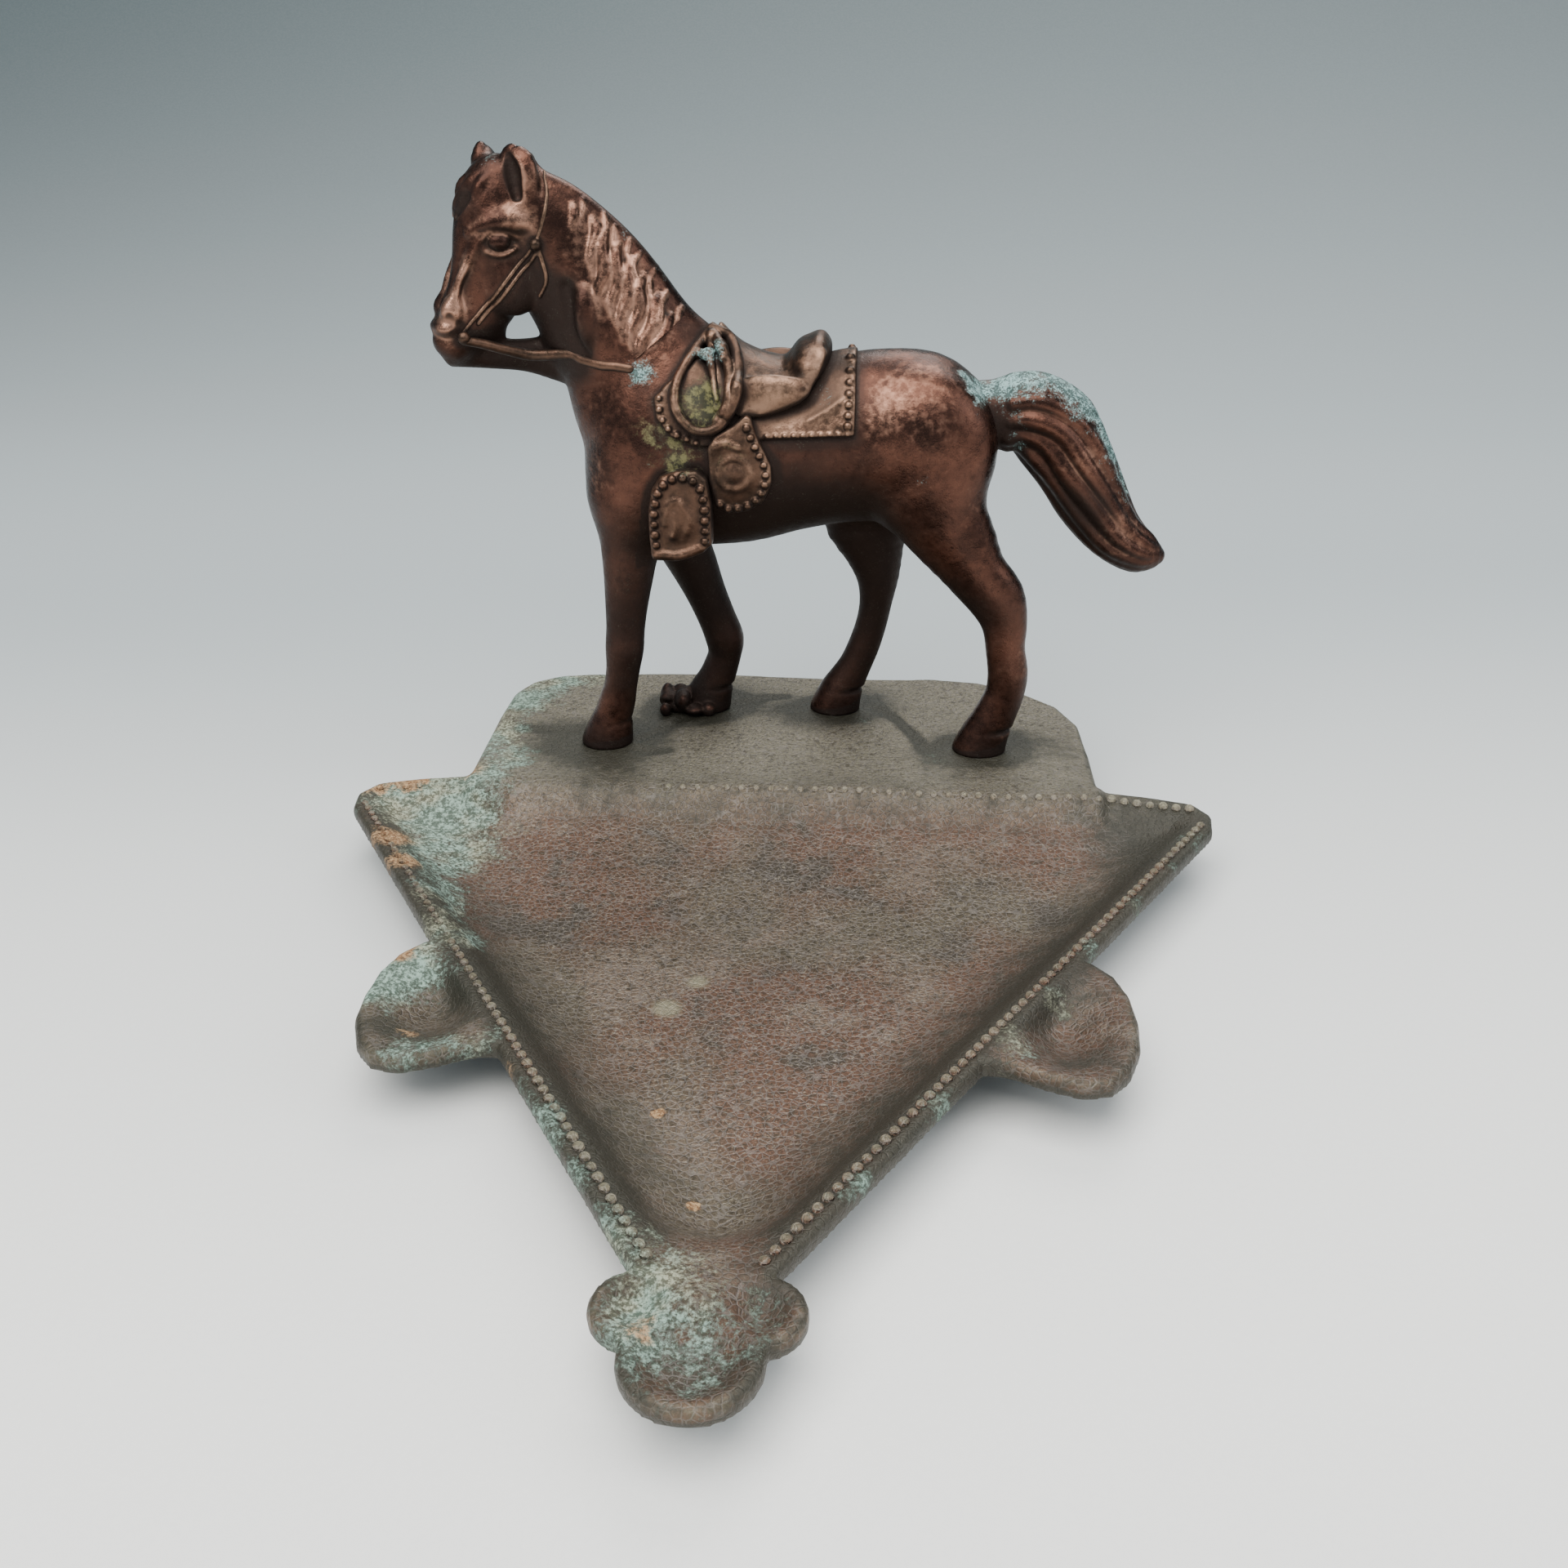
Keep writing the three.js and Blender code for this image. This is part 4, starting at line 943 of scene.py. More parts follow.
def bead(place, radius):
    """One closed ball as verts and quads; its poles are closed by small caps."""
    rings, around = 6, 10
    verts, faces = [], []
    for i in range(1, rings):
        lat = math.pi * i / rings
        for j in range(around):
            lon = 2 * math.pi * j / around
            out = radius * math.sin(lat)
            verts.append((out * math.cos(lon), out * math.sin(lon), radius * math.cos(lat)))
    for i in range(rings - 2):
        for j in range(around):
            here, below, after = i * around, (i + 1) * around, (j + 1) % around
            faces.append([here + j, below + j, below + after, here + after])
    faces.append(list(range(around)))
    faces.append([(rings - 2) * around + j for j in reversed(range(around))])
    return np.array(verts) + place, faces


def rim_beads(tray):
    """Every bead along the rim: (place, radius) on the tray's upper face."""
    side = line_of(BARB_LOW, TRAY_NECK, BEAD_INSET)
    back = line_of((60, 46.2), (73.2, 43.0), BEAD_INSET)
    step = [(-20, 42.6), (57, 42.2)]
    paths = [([(flip * x, y) for x, y in ends], 2.15, 0.82) for flip in (1, -1) for ends in (side, back)]
    found = []
    for path, pitch, radius in paths + [(step, 2.7, 0.6)]:
        for x, y in evenly(path, pitch):
            worn = 0.8 + 0.2 * ramp(x, -60, -20)
            found.append((x, y, radius * worn * rng.uniform(0.92, 1.06)))
    x, y, size = np.array(found).T
    top = np.full(len(x), RIM_Z)
    done = np.zeros(len(x), bool)
    for level in 14.0 - 0.2 * np.arange(64):
        inside = tray.sample(np.stack([x, y, np.full(len(x), level)], 1)) < 0
        top[inside & ~done] = level
        done |= inside
    return list(zip(zip(x, y, top + 0.15), size))
# ---- Pieces -------------------------------------------------------------------------------------

def cavity(points, normals, clays, reach):
    """0 in the open, rising to 1 and over where other surfaces close in within reach."""
    clear = np.min([c.sample(points + normals * reach) for c in clays], axis=0)
    return np.clip(1 - clear / reach, 0, 1.6)


def edge(points, normals, clay, depth):
    """0 on flat faces, rising where the metal behind is thinner than depth."""
    return np.clip(1 + clay.sample(points - normals * depth) / depth, 0, 1)


def patches(points, places):
    """Soft round patches: a place is (x, y, z, radius, strength) in mm."""
    total = np.zeros(len(points))
    for x, y, z, radius, strength in places:
        total += strength * np.exp(-((points - (x, y, z)) ** 2).sum(1) / radius ** 2)
    return total


def keep_side(verts, faces, planes):
    """The part of a closed skin behind every (point, normal) plane, capped flat."""
    bm = bmesh.new()
    near = np.ones(len(faces), bool)
    for point, normal in planes:
        ahead = ((verts - point) @ normal) < 1.5
        near &= ahead[faces].any(1)
    faces = faces[near]
    used, again = np.unique(faces, return_inverse=True)
    made = [bm.verts.new(v) for v in verts[used]]
    for ring in again.reshape(faces.shape):
        bm.faces.new([made[i] for i in ring])
    bm.normal_update()
    cap = bm.faces.layers.int.new("cap")
    for point, normal in planes:
        everything = bm.verts[:] + bm.edges[:] + bm.faces[:]
        cut = bmesh.ops.bisect_plane(bm, geom=everything, dist=1e-5, plane_co=point, plane_no=normal,
                                     clear_outer=True)
        rim = [e for e in cut["geom_cut"] if isinstance(e, bmesh.types.BMEdge) and e.is_boundary]
        filled = bmesh.ops.triangle_fill(bm, use_beauty=True, edges=rim, normal=normal)
        for f in filled["geom"]:
            if isinstance(f, bmesh.types.BMFace):
                f[cap] = 1
    bm.verts.index_update()
    result = np.array([v.co[:] for v in bm.verts])
    rings = [[v.index for v in f.verts] for f in bm.faces]
    caps = [bool(f[cap]) for f in bm.faces]
    bm.free()
    return result, rings, caps


def smooth_mesh(name, verts, faces, normals, caps):
    """A mesh in metres with its own normals. Faces marked in caps are flat."""
    mesh = bpy.data.meshes.new(name)
    mesh.from_pydata((verts * MM).tolist(), [], faces.tolist() if hasattr(faces, "tolist") else faces)
    mesh.update()
    mesh.shade_smooth()
    corners = np.zeros(len(mesh.loops), int)
    mesh.loops.foreach_get("vertex_index", corners)
    by_corner = normals[corners]
    for polygon, flat in zip(mesh.polygons, caps):
        if flat:
            by_corner[polygon.loop_start:polygon.loop_start + polygon.loop_total] = polygon.normal
    mesh.normals_split_custom_set(by_corner.tolist())
    return mesh


def piece(name, clay, skin, material, nodes, slot, green, around=(), ochre=(), shade_and_dirt=(), worn_and_highlit=(),
          wear=1.0, painted_shade_below=0.5, caps=()):
    """A mesh with the clay's own normals, and how hollow, raised and stained each place is, with painted
    shade added to the hollow values and painted highlights added to the raised ones.
    """
    verts, faces = skin
    normals = clay.slope(verts)
    mesh = smooth_mesh(name, verts, faces, normals, caps)
    reaches = ((0.9, 1.0), (2.2, 0.9), (5.0, 0.8))
    near = [share * cavity(verts, normals, [clay, *around], reach) for reach, share in reaches]
    # Faces that look down are darkened: painted shade under things.
    below = ramp(normals[:, 2], 0.3, -0.8)
    layers = {
        # hollow: patina where other surfaces close in, plus the shade and dirt patches and the painted
        # shade on faces that look down.
        "hollow": np.maximum.reduce(near) + patches(verts, shade_and_dirt) + painted_shade_below * below,
        # ridge: worn edges, plus the patches, which are worn plating and painted highlights.
        "ridge": wear * edge(verts, normals, clay, 0.8) + patches(verts, worn_and_highlit),
        "green": patches(verts, green),
        "ochre": patches(verts, ochre),
    }
    for key, values in layers.items():
        mesh.attributes.new(key, "FLOAT", "POINT").data.foreach_set("value", values.astype(np.float32))
    mesh.materials.append(material)
    obj = bpy.data.objects.new(name, mesh)
    bpy.context.scene.collection.objects.link(obj)
    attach(obj, "root")
    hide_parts(*nodes)


# ---- Materials ----------------------------------------------------------------------------------

class Shader:
    """A node material, built by naming each node's inputs."""

    def __init__(self, name):
        self.material = bpy.data.materials.new(name)
        self.material.use_nodes = True
        self.tree = self.material.node_tree
        self.surface = self.tree.nodes["Principled BSDF"]
        self.place = self.node("ShaderNodeTexCoord").outputs["Object"]

    def put(self, socket, value):
        if isinstance(value, bpy.types.NodeSocket):
            self.tree.links.new(value, socket)
        else:
            socket.default_value = value

    def node(self, kind, settings=None, **inputs):
        made = self.tree.nodes.new(kind)
        for key, value in (settings or {}).items():
            setattr(made, key, value)
        for key, value in inputs.items():
            socket = made.inputs[int(key[1:])] if key[0] == "i" and key[1:].isdigit() else made.inputs[key]
            self.put(socket, value)
        return made

    def field(self, name):
        return self.node("ShaderNodeAttribute", {"attribute_name": name}).outputs["Fac"]

    def noise(self, per_mm, detail, roughness=0.6, seed=0.0):
        shifted = self.node("ShaderNodeVectorMath", {"operation": "ADD"}, i0=self.place, i1=(seed,) * 3)
        made = self.node("ShaderNodeTexNoise", Vector=shifted.outputs[0], Scale=per_mm / MM, Detail=detail,
                         Roughness=roughness)
        return made.outputs["Fac"]

    def cells(self, per_mm):
        made = self.node("ShaderNodeTexVoronoi", {"feature": "DISTANCE_TO_EDGE"}, Vector=self.place,
                         Scale=per_mm / MM)
        return made.outputs["Distance"]

    def maths(self, operation, a, b, clamp=False):
        settings = {"operation": operation, "use_clamp": clamp}
        return self.node("ShaderNodeMath", settings, i0=a, i1=b).outputs[0]

    def plus(self, a, b, clamp=False):
        return self.maths("ADD", a, b, clamp)

    def times(self, a, b):
        return self.maths("MULTIPLY", a, b)

    def between(self, value, low, high, start=0.0, end=1.0):
        """A smooth step from start, where value is low, to end, where it is high."""
        settings = {"interpolation_type": "SMOOTHSTEP"}
        made = self.node("ShaderNodeMapRange", settings, i0=value, i1=low, i2=high, i3=start, i4=end)
        return made.outputs[0]

    def blend(self, share, a, b):
        """Colour a, or b where share is 1."""
        a, b = ((*c, 1.0) if isinstance(c, tuple) else c for c in (a, b))
        return self.node("ShaderNodeMix", {"data_type": "RGBA"}, i0=share, i6=a, i7=b).outputs[2]

    def broken(self, field, mottle, low, high, faint, full):
        """A soft patch broken up by the mottle, and nothing at all where the field is faint."""
        patch = self.between(self.plus(field, mottle), low, high)
        return self.times(patch, self.between(field, faint, full))

    def finish(self, colour, rough, metal, height, depth_mm):
        bump = self.node("ShaderNodeBump", Height=height, Distance=depth_mm * MM, Strength=1.0)
        self.put(self.surface.inputs["Base Color"], colour)
        self.put(self.surface.inputs["Roughness"], rough)
        self.put(self.surface.inputs["Metallic"], metal)
        self.put(self.surface.inputs["Normal"], bump.outputs["Normal"])
        return self.material


def worn_copper(name, dark, middle, bright, shine, wear):
    """Copper plate gone brown, rubbed bright on high places and lighter in painted highlights, dark with
    patina and painted shade in low and downward places, green in patches.
    """
    s = Shader(name)
    hollow, ridge, green, ochre = (s.field(k) for k in ("hollow", "ridge", "green", "ochre"))
    broad, fine, grit = s.noise(0.09, 5), s.noise(0.7, 5, 0.65, 0.3), s.noise(3.2, 3, 0.6, 0.7)
    blotch = s.noise(0.38, 6, 0.7, 0.9)
    mottle = s.plus(s.times(blotch, 1.8), s.times(grit, 0.7))
    base = s.blend(s.between(s.plus(broad, s.times(fine, 0.5)), 0.58, 0.95), dark, middle)
    # Bright where the ridge field is high: worn edges and painted highlights.
    worn_and_highlit = s.plus(s.times(ridge, wear), s.times(fine, 0.9))
    base = s.blend(s.between(worn_and_highlit, 0.55, 1.15), base, bright)
    # Near black where the hollow field is high: patina in hollows, and painted shade under things and on
    # the shaded legs.
    grime_and_shade = s.between(s.plus(hollow, s.times(fine, 0.4)), 0.3, 0.9)
    base = s.blend(s.times(grime_and_shade, 0.94), base, (0.021, 0.012, 0.009))
    dusty = s.times(s.between(grit, 0.56, 0.72, 0.0, 0.35), s.between(blotch, 0.45, 0.6))
    base = s.blend(s.times(dusty, grime_and_shade), base, (0.13, 0.135, 0.10))
    stain = s.broken(green, mottle, 1.72, 2.24, 0.04, 0.3)
    flecks = s.plus(s.times(grit, 0.5), s.times(fine, 0.5))
    verdigris = s.blend(s.between(flecks, 0.45, 0.58), (0.038, 0.080, 0.074), (0.31, 0.48, 0.47))
    base = s.blend(s.times(stain, 0.88), base, verdigris)
    moss = s.broken(ochre, mottle, 1.5, 2.2, 0.05, 0.3)
    olive = s.blend(s.between(blotch, 0.45, 0.58), (0.03, 0.033, 0.016), (0.20, 0.185, 0.075))
    base = s.blend(s.times(moss, 0.8), base, olive)
    crust = s.maths("MAXIMUM", stain, moss)
    dull = s.plus(s.times(grime_and_shade, 0.32), s.times(crust, 0.4))
    rough = s.plus(dull, s.between(fine, 0.3, 0.7, shine, shine + 0.12), clamp=True)
    metal = s.maths("SUBTRACT", 0.92, s.plus(s.times(grime_and_shade, 0.2), s.times(crust, 0.7)), clamp=True)
    height = s.plus(s.times(fine, 0.8), s.times(grit, 0.35))
    return s.finish(base, rough, metal, height, 0.13)


def tray_bronze():
    """Brown satin bronze, reddish in the pan and paler on the plinth, with crusts of green, cream and
    orange on the rim, and painted shade along the walls and on the sides that face down or out.
    """
    s = Shader("tray_bronze")
    hollow, ridge, green, ochre = (s.field(k) for k in ("hollow", "ridge", "green", "ochre"))
    broad, zones, blotch = s.noise(0.022, 3), s.noise(0.07, 4, 0.6, 0.5), s.noise(0.22, 6, 0.72, 0.9)
    fine, grit = s.noise(0.6, 6, 0.7), s.noise(1.7, 4, 0.75)
    cells = s.between(s.cells(0.95), 0.0, 0.16)
    mottle = s.plus(s.times(blotch, 1.8), s.times(grit, 0.9))
    back = s.node("ShaderNodeSeparateXYZ", Vector=s.place).outputs["Y"]
    pan = s.blend(s.between(broad, 0.40, 0.58), (0.116, 0.094, 0.064), (0.132, 0.068, 0.043))
    pan = s.blend(s.between(zones, 0.50, 0.68), pan, (0.18, 0.130, 0.094))
    pan = s.blend(s.between(zones, 0.46, 0.34), pan, (0.070, 0.056, 0.043))
    # The plinth is paler and more olive: partly its own tone, partly painted light that lifts the horse's
    # shadow off it.
    base = s.blend(s.between(back, 0.036, 0.046), pan, (0.190, 0.170, 0.122))
    base = s.blend(s.between(grit, 0.54, 0.64, 0.0, 0.75), base, (0.30, 0.26, 0.20))
    base = s.blend(s.between(grit, 0.49, 0.40, 0.0, 0.7), base, (0.048, 0.038, 0.026))
    base = s.blend(s.between(fine, 0.47, 0.38, 0.0, 0.7), base, (0.050, 0.040, 0.026))
    base = s.blend(s.between(cells, 1.0, 0.0, 0.0, 0.4), base, (0.24, 0.215, 0.20))
    base = s.blend(s.between(ridge, 0.1, 0.7, 0.0, 0.6), base, (0.33, 0.31, 0.21))
    patchy = s.plus(s.plus(fine, grit), s.times(blotch, 1.1))
    # Dark where the hollow field is high: dirt in the scars, darker patches, and painted shade along the
    # walls and on faces that look down or out.
    grime_and_shade = s.broken(hollow, patchy, 1.60, 2.30, 0.02, 0.2)
    base = s.blend(s.times(grime_and_shade, 0.9), base, (0.024, 0.023, 0.015))
    stain = s.broken(green, mottle, 1.75, 2.35, 0.05, 0.4)
    flecks = s.between(s.plus(s.times(grit, 0.6), s.times(fine, 0.4)), 0.44, 0.58)
    verdigris = s.blend(flecks, (0.058, 0.095, 0.070), (0.33, 0.47, 0.39))
    cream = s.blend(flecks, (0.085, 0.080, 0.045), (0.42, 0.41, 0.28))
    verdigris = s.blend(s.between(zones, 0.48, 0.62, 0.0, 0.85), verdigris, cream)
    base = s.blend(s.times(stain, 0.82), base, verdigris)
    rust = s.broken(ochre, mottle, 1.6, 2.0, 0.1, 0.4)
    orange = s.blend(s.between(grit, 0.42, 0.6), (0.16, 0.075, 0.03), (0.42, 0.27, 0.14))
    base = s.blend(rust, base, orange)
    crust = s.maths("MAXIMUM", stain, rust)
    rough = s.plus(s.times(crust, 0.3), s.between(fine, 0.3, 0.7, 0.40, 0.56), clamp=True)
    metal = s.maths("SUBTRACT", 0.6, s.plus(s.times(crust, 0.5), s.times(grime_and_shade, 0.3)), clamp=True)
    height = s.plus(s.times(fine, 0.9), s.times(s.plus(grit, crust), 0.6))
    height = s.plus(height, s.times(cells, 0.25))
    return s.finish(base, rough, metal, height, 0.26)


def zinc_steel():
    """The screws under the plinth."""
    s = Shader("screw_steel")
    fine = s.noise(1.4, 4)
    base = s.blend(s.between(fine, 0.4, 0.65), (0.30, 0.29, 0.27), (0.50, 0.50, 0.48))
    return s.finish(base, s.between(fine, 0.3, 0.7, 0.3, 0.5), 1.0, fine, 0.04)


# ---- Assembly -----------------------------------------------------------------------------------

horse_metal = worn_copper("horse_copper", dark=(0.040, 0.019, 0.014), middle=(0.112, 0.048, 0.032),
                          bright=(0.44, 0.235, 0.16), shine=0.22, wear=0.84)
tack_metal = worn_copper("tack_copper", dark=(0.048, 0.030, 0.021), middle=(0.138, 0.074, 0.049),
                         bright=(0.40, 0.235, 0.155), shine=0.29, wear=0.87)
tray_metal = tray_bronze()
steel = zinc_steel()

# Where verdigris, painted shade, moss, and worn metal with painted highlights lie, as (x, y, z, radius,
# strength) in mm.
HORSE_GREEN = [
    (46, MID, 80, 6.5, 0.8), (52, MID - 1, 74.5, 5.5, 0.9), (57, MID, 67.5, 4.8, 0.9),
    (60.5, MID - 1, 61, 4.4, 0.75), (40.0, MID - 1, 78, 4.0, 0.7), (34.0, MID - 3, 80, 5.0, 0.8),
    (31.5, MID - 6, 77.5, 4.0, 0.55), (-24.2, MID - 9, 81.4, 2.9, 1.15),
    (-27.0, MID - 1, 103.4, 3.4, 0.5), (-22.6, MID - 1, 97.4, 3.4, 0.5),
    (-48.0, MID - 4, 115.4, 2.6, 0.55), (-21.6, MID - 11, 67, 3.0, 0.5), (-15, FARSIDE, 14, 5.0, 0.4),
    (21.5, MID - 11, 76, 2.4, 0.4), (24, MID - 13, 65, 2.2, 0.38), (40, MID - 4, 70, 4.0, 0.5),
    (10.6, FARSIDE, 14, 4.0, 0.4), (66, MID, 49, 3.0, 0.35),
]
# Painted shade: the far legs, the belly, under the jaw, chin web and tail, in the ear and forelock, round
# the hooves and on the lower near legs.
HORSE_SHADE = [
    (-17, FARSIDE, 46, 9, 0.7), (-15, FARSIDE, 34, 9, 0.5), (-14, FARSIDE, 14, 6, 0.4),
    (16, FARSIDE, 50, 10, 0.8), (16, FARSIDE, 38, 9, 0.7), (14, FARSIDE, 26, 7, 0.3),
    (10, FARSIDE, 13, 5, 0.4), (-8, MID - 5, 48, 12, 0.6), (8, MID - 5, 52, 11, 0.5),
    (-40.5, MID - 6, 93, 5.5, 0.9), (-38.5, MID - 7, 87, 4.5, 0.8), (-29, NEAR, 38, 8, 0.45),
    (-30, NEAR, 26, 8, 0.4), (-34, NEAR - 3, 12.6, 4, 0.5), (37, NEAR - 3, 12.6, 4, 0.5),
    (-20, MID - 12, 57, 5, 0.4), (-36, MID - 7, 82, 4, 0.5), (3, MID - 12, 66, 9, 0.25),
    (-46, MID - 4, 84, 5, 0.6), (39.4, MID, 71, 5, 0.5), (52.5, MID - 5, 58, 6, 0.35),
    (*on_head(3.6, 1.0, 109.0), 3.4, 0.6), (*on_head(-3.6, 6.0, 113.6), 2.4, 0.3),
    (-21, FARSIDE - 1, 13, 5, 0.9), (-15, FARSIDE, 22, 6, 0.4), (11, FARSIDE, 20, 6, 0.4),
    (-29, NEAR, 48, 6, 0.3), (38, NEAR, 40, 7, 0.3), (42, NEAR, 26, 8, 0.25), (-4, MID - 12, 55, 6, 0.4),
]
# Worn plating, and painted highlights on the brow, muzzle, mane, chest, haunch, tail and hind leg.
HORSE_WEAR_AND_HIGHLIGHTS = [
    (*on_head(-3.5, 6.0, 106.2), 2.8, 0.55), (*on_head(-5.5, 6.0, 104.0), 2.2, 0.3),
    (*on_head(5.4, 3.6, 98.4), 1.6, 0.4), (*on_head(7.6, 3.2, 93.0), 2.6, 0.7),
    (*on_head(9.0, 2.5, 88.6), 2.4, 0.6), (*on_head(-6.0, 6.0, 112.5), 2.2, 0.5),
    (-33, MID - 5, 103, 4, 0.25), (-30, MID - 6, 98, 5, 0.3), (-26, MID - 7, 93, 5, 0.3),
    (-22.5, MID - 8, 87.5, 4.5, 0.3), (-36, MID - 12, 66, 5, 0.3), (24, MID - 9, 77, 9, 0.22),
    (17, MID - 11, 76, 5, 0.2), (60, MID - 4, 54, 5, 0.25), (52, MID - 5, 66, 4, 0.3),
    (43, NEAR - 2, 30, 4, 0.2),
]
# Worn plating, and painted highlights on the seat, blanket and fender.
TACK_WEAR_AND_HIGHLIGHTS = [
    (-1.0, MID - 12, 79.5, 5, 0.5), (5.0, MID - 8, 84, 3, 0.3), (-9.0, MID - 13, 80, 3, 0.3),
    (-18, MID - 13, 77, 3, 0.3), (11.4, MID - 12, 77, 4, 0.2), (2, MID - 13, 72.5, 6, 0.15),
    (-3, MID - 14, 65, 3, 0.2),
]
MOSS = [(-14.4, MID - 12, 78, 3.4, 1.0), (-12.6, MID - 12, 76, 3.0, 0.8), (-18, MID - 13, 67.5, 3.4, 0.8),
        (-22, MID - 12, 72, 3.4, 0.6), (-9, MID - 13, 69, 3.0, 0.5)]
TACK_GREEN = [
    (-12.4, MID - 10, 87, 3.8, 1.2), (-14.6, MID - 12, 84.4, 2.6, 0.9), (6.4, MID - 4, 86.6, 3.4, 0.5),
    (8.0, MID - 11, 79.5, 3.6, 0.45), (-18.0, TAPADERO_Y - 2, 66.4, 3.0, 0.5),
    (0.5, MID - 8, 83, 3.0, 0.4), (-54, MID - 6, 86, 2.4, 0.5), (-8.4, MID - 13, 61, 2.4, 0.35),
]
TRAY_GREEN = [
    (-70, 41, 10, 8, 0.9), (-62, 36, 8, 9, 0.85), (-58, 22, 7, 9, 0.8), (-53, 8, 8, 7, 0.7),
    (-56, 44, 10, 8, 0.8), (-47, -4, 9, 7, 0.75), (-51, -15, 9, 7, 1.0), (-56, -22, 10, 7, 1.0),
    (-46, -36, 10, 5, 0.7), (-37, -33, 10, 5, 0.7), (-28, -44, 10, 5, 0.55), (-24, -52, 9, 5, 0.85),
    (-19, -60, 10, 5, 0.7), (-12, -70, 10, 5, 0.85), (-4, -76, 10, 6, 0.9), (-8, -84, 10, 6, 0.7),
    (0, -88, 10, 7, 0.6), (7, -80, 10, 6, 0.4), (-57, 62, 12, 7, 1.0), (-55, 78, 12, 8, 1.1),
    (-49, 89, 12, 7, 0.95), (-38, 92, 12, 6, 0.6), (-50, 52, 12, 6, 0.6), (-50, 30, 6, 8, 0.5),
    (17, -60, 10, 4, 0.7), (28, -44, 10, 5, 0.7), (38, -30, 10, 5, 0.75), (45, -18, 10, 4, 0.7),
    (50, -6, 10, 4, 0.65), (60, 8, 10, 4, 0.55), (72, 30, 10, 4, 0.6), (66, 20, 10, 3, 0.5),
    (50, 50, 12, 5, 0.35), (30, 56, 12, 5, 0.45), (-14, 76, 12, 6, 0.35), (14, 74, 12, 6, 0.35),
    (66, 42, 10, 5, 0.3),
]
TRAY_OCHRE = [
    (-68, 45, 10, 4.5, 0.9), (-74, 40, 10, 3, 0.6), (-66, 24, 10, 4.0, 0.9), (-61, 15, 10, 3.4, 0.8),
    (-54, -12, 10, 3.4, 1.0), (-31, -40, 10, 2.6, 0.5), (-57, 47, 11, 3.4, 0.6),
    (-47, -31, 8.5, 2.4, 0.5), (-10.7, -38.8, 3, 0.9, 1.4), (-3.6, -57.1, 3.5, 0.9, 1.4),
    (-6, -84, 10, 3.0, 0.5),
]
TRAY_RUBBED = [
    (-12.9, -14.3, 3, 2.2, 0.9), (-9.0, -7.0, 3, 1.8, 0.7), (-22, 30, 3, 1.2, 0.5),
    (74, 41, 10.5, 4, 0.3),
]


def planes_between(*pairs):
    """(point, normal) pairs as arrays, with unit normals."""
    return [(np.array(point, float), np.array(normal, float) / np.linalg.norm(normal))
            for point, normal in pairs]


NECK_CUT = ((-30.0, MID, 80.0), (0.62, 0.0, -0.78))  # across the withers and chest, facing the torso
HEAD_CUT = ((-44.0, MID, 99.0), (0.95, 0.0, 0.30))   # behind the jaw, facing the neck
LEG_TOP = 47.0
BODY_CELL = 0.42
HEAD_CELL = 0.3


def flipped(cut):
    return cut[0], tuple(-n for n in cut[1])


def cast(name, clay, skin, planes, look):
    """A casting: the part of the horse's skin that lies behind every one of the planes."""
    verts, faces, caps = keep_side(*skin, planes_between(*planes))
    piece(name, clay, (verts, faces), horse_metal, [name], "horse_copper", caps=caps, **look)


def build_horse(body, head, tail, around):
    look = {"around": around, "green": HORSE_GREEN, "shade_and_dirt": HORSE_SHADE, "ochre": MOSS,
            "worn_and_highlit": HORSE_WEAR_AND_HIGHLIGHTS}
    head_skin = head.skin()
    body_skin = body.skin()
    cast("head_casting", head, head_skin, [HEAD_CUT], look)
    cast("neck_casting", head, head_skin, [flipped(HEAD_CUT), NECK_CUT], look)
    below = ((0, 0, LEG_TOP), (0, 0, 1))
    left, front = ((0, MID, 0), (0, 1, 0)), ((0, 0, 0), (1, 0, 0))
    for side, plane in (("left", left), ("right", flipped(left))):
        cast("torso_shell_" + side, body, body_skin, [flipped(below), flipped(NECK_CUT), plane], look)
        for end, other in (("front", front), ("hind", flipped(front))):
            cast(f"leg_{end}_{side}", body, body_skin, [below, plane, other], look)
    piece("tail_casting", tail, tail.skin(), horse_metal, ["tail_casting"], "horse_copper",
          around=[body], green=HORSE_GREEN, shade_and_dirt=HORSE_SHADE, worn_and_highlit=HORSE_WEAR_AND_HIGHLIGHTS)


def build_tack(parts, under):
    """parts is {node: (clay, is it copied to the right side)}."""
    for name, (clay, copied) in parts.items():
        verts, faces = clay.skin()
        wear = 0.35 if name in ("headstall", "reins", "bit") else 0.8
        piece(name, clay, (verts, faces), tack_metal, [name], "tack_copper", around=under,
              green=TACK_GREEN, ochre=MOSS, worn_and_highlit=TACK_WEAR_AND_HIGHLIGHTS, wear=wear)
        if copied:
            right = name.replace("left", "right")
            piece(right, Mirror(clay), (mirror_image(verts), faces[:, ::-1]), tack_metal, [right],
                  "tack_copper", around=under, green=TACK_GREEN)


def mirror_image(points):
    """Points reflected in the horse's plane of symmetry."""
    return points * (1, -1, 1) + (0, 2 * MID, 0)


class Mirror:
    """A clay seen in the horse's plane of symmetry."""

    def __init__(self, clay):
        self.clay = clay

    def sample(self, points):
        return self.clay.sample(mirror_image(points))

    def slope(self, points):
        return self.clay.slope(mirror_image(points)) * (1, -1, 1)


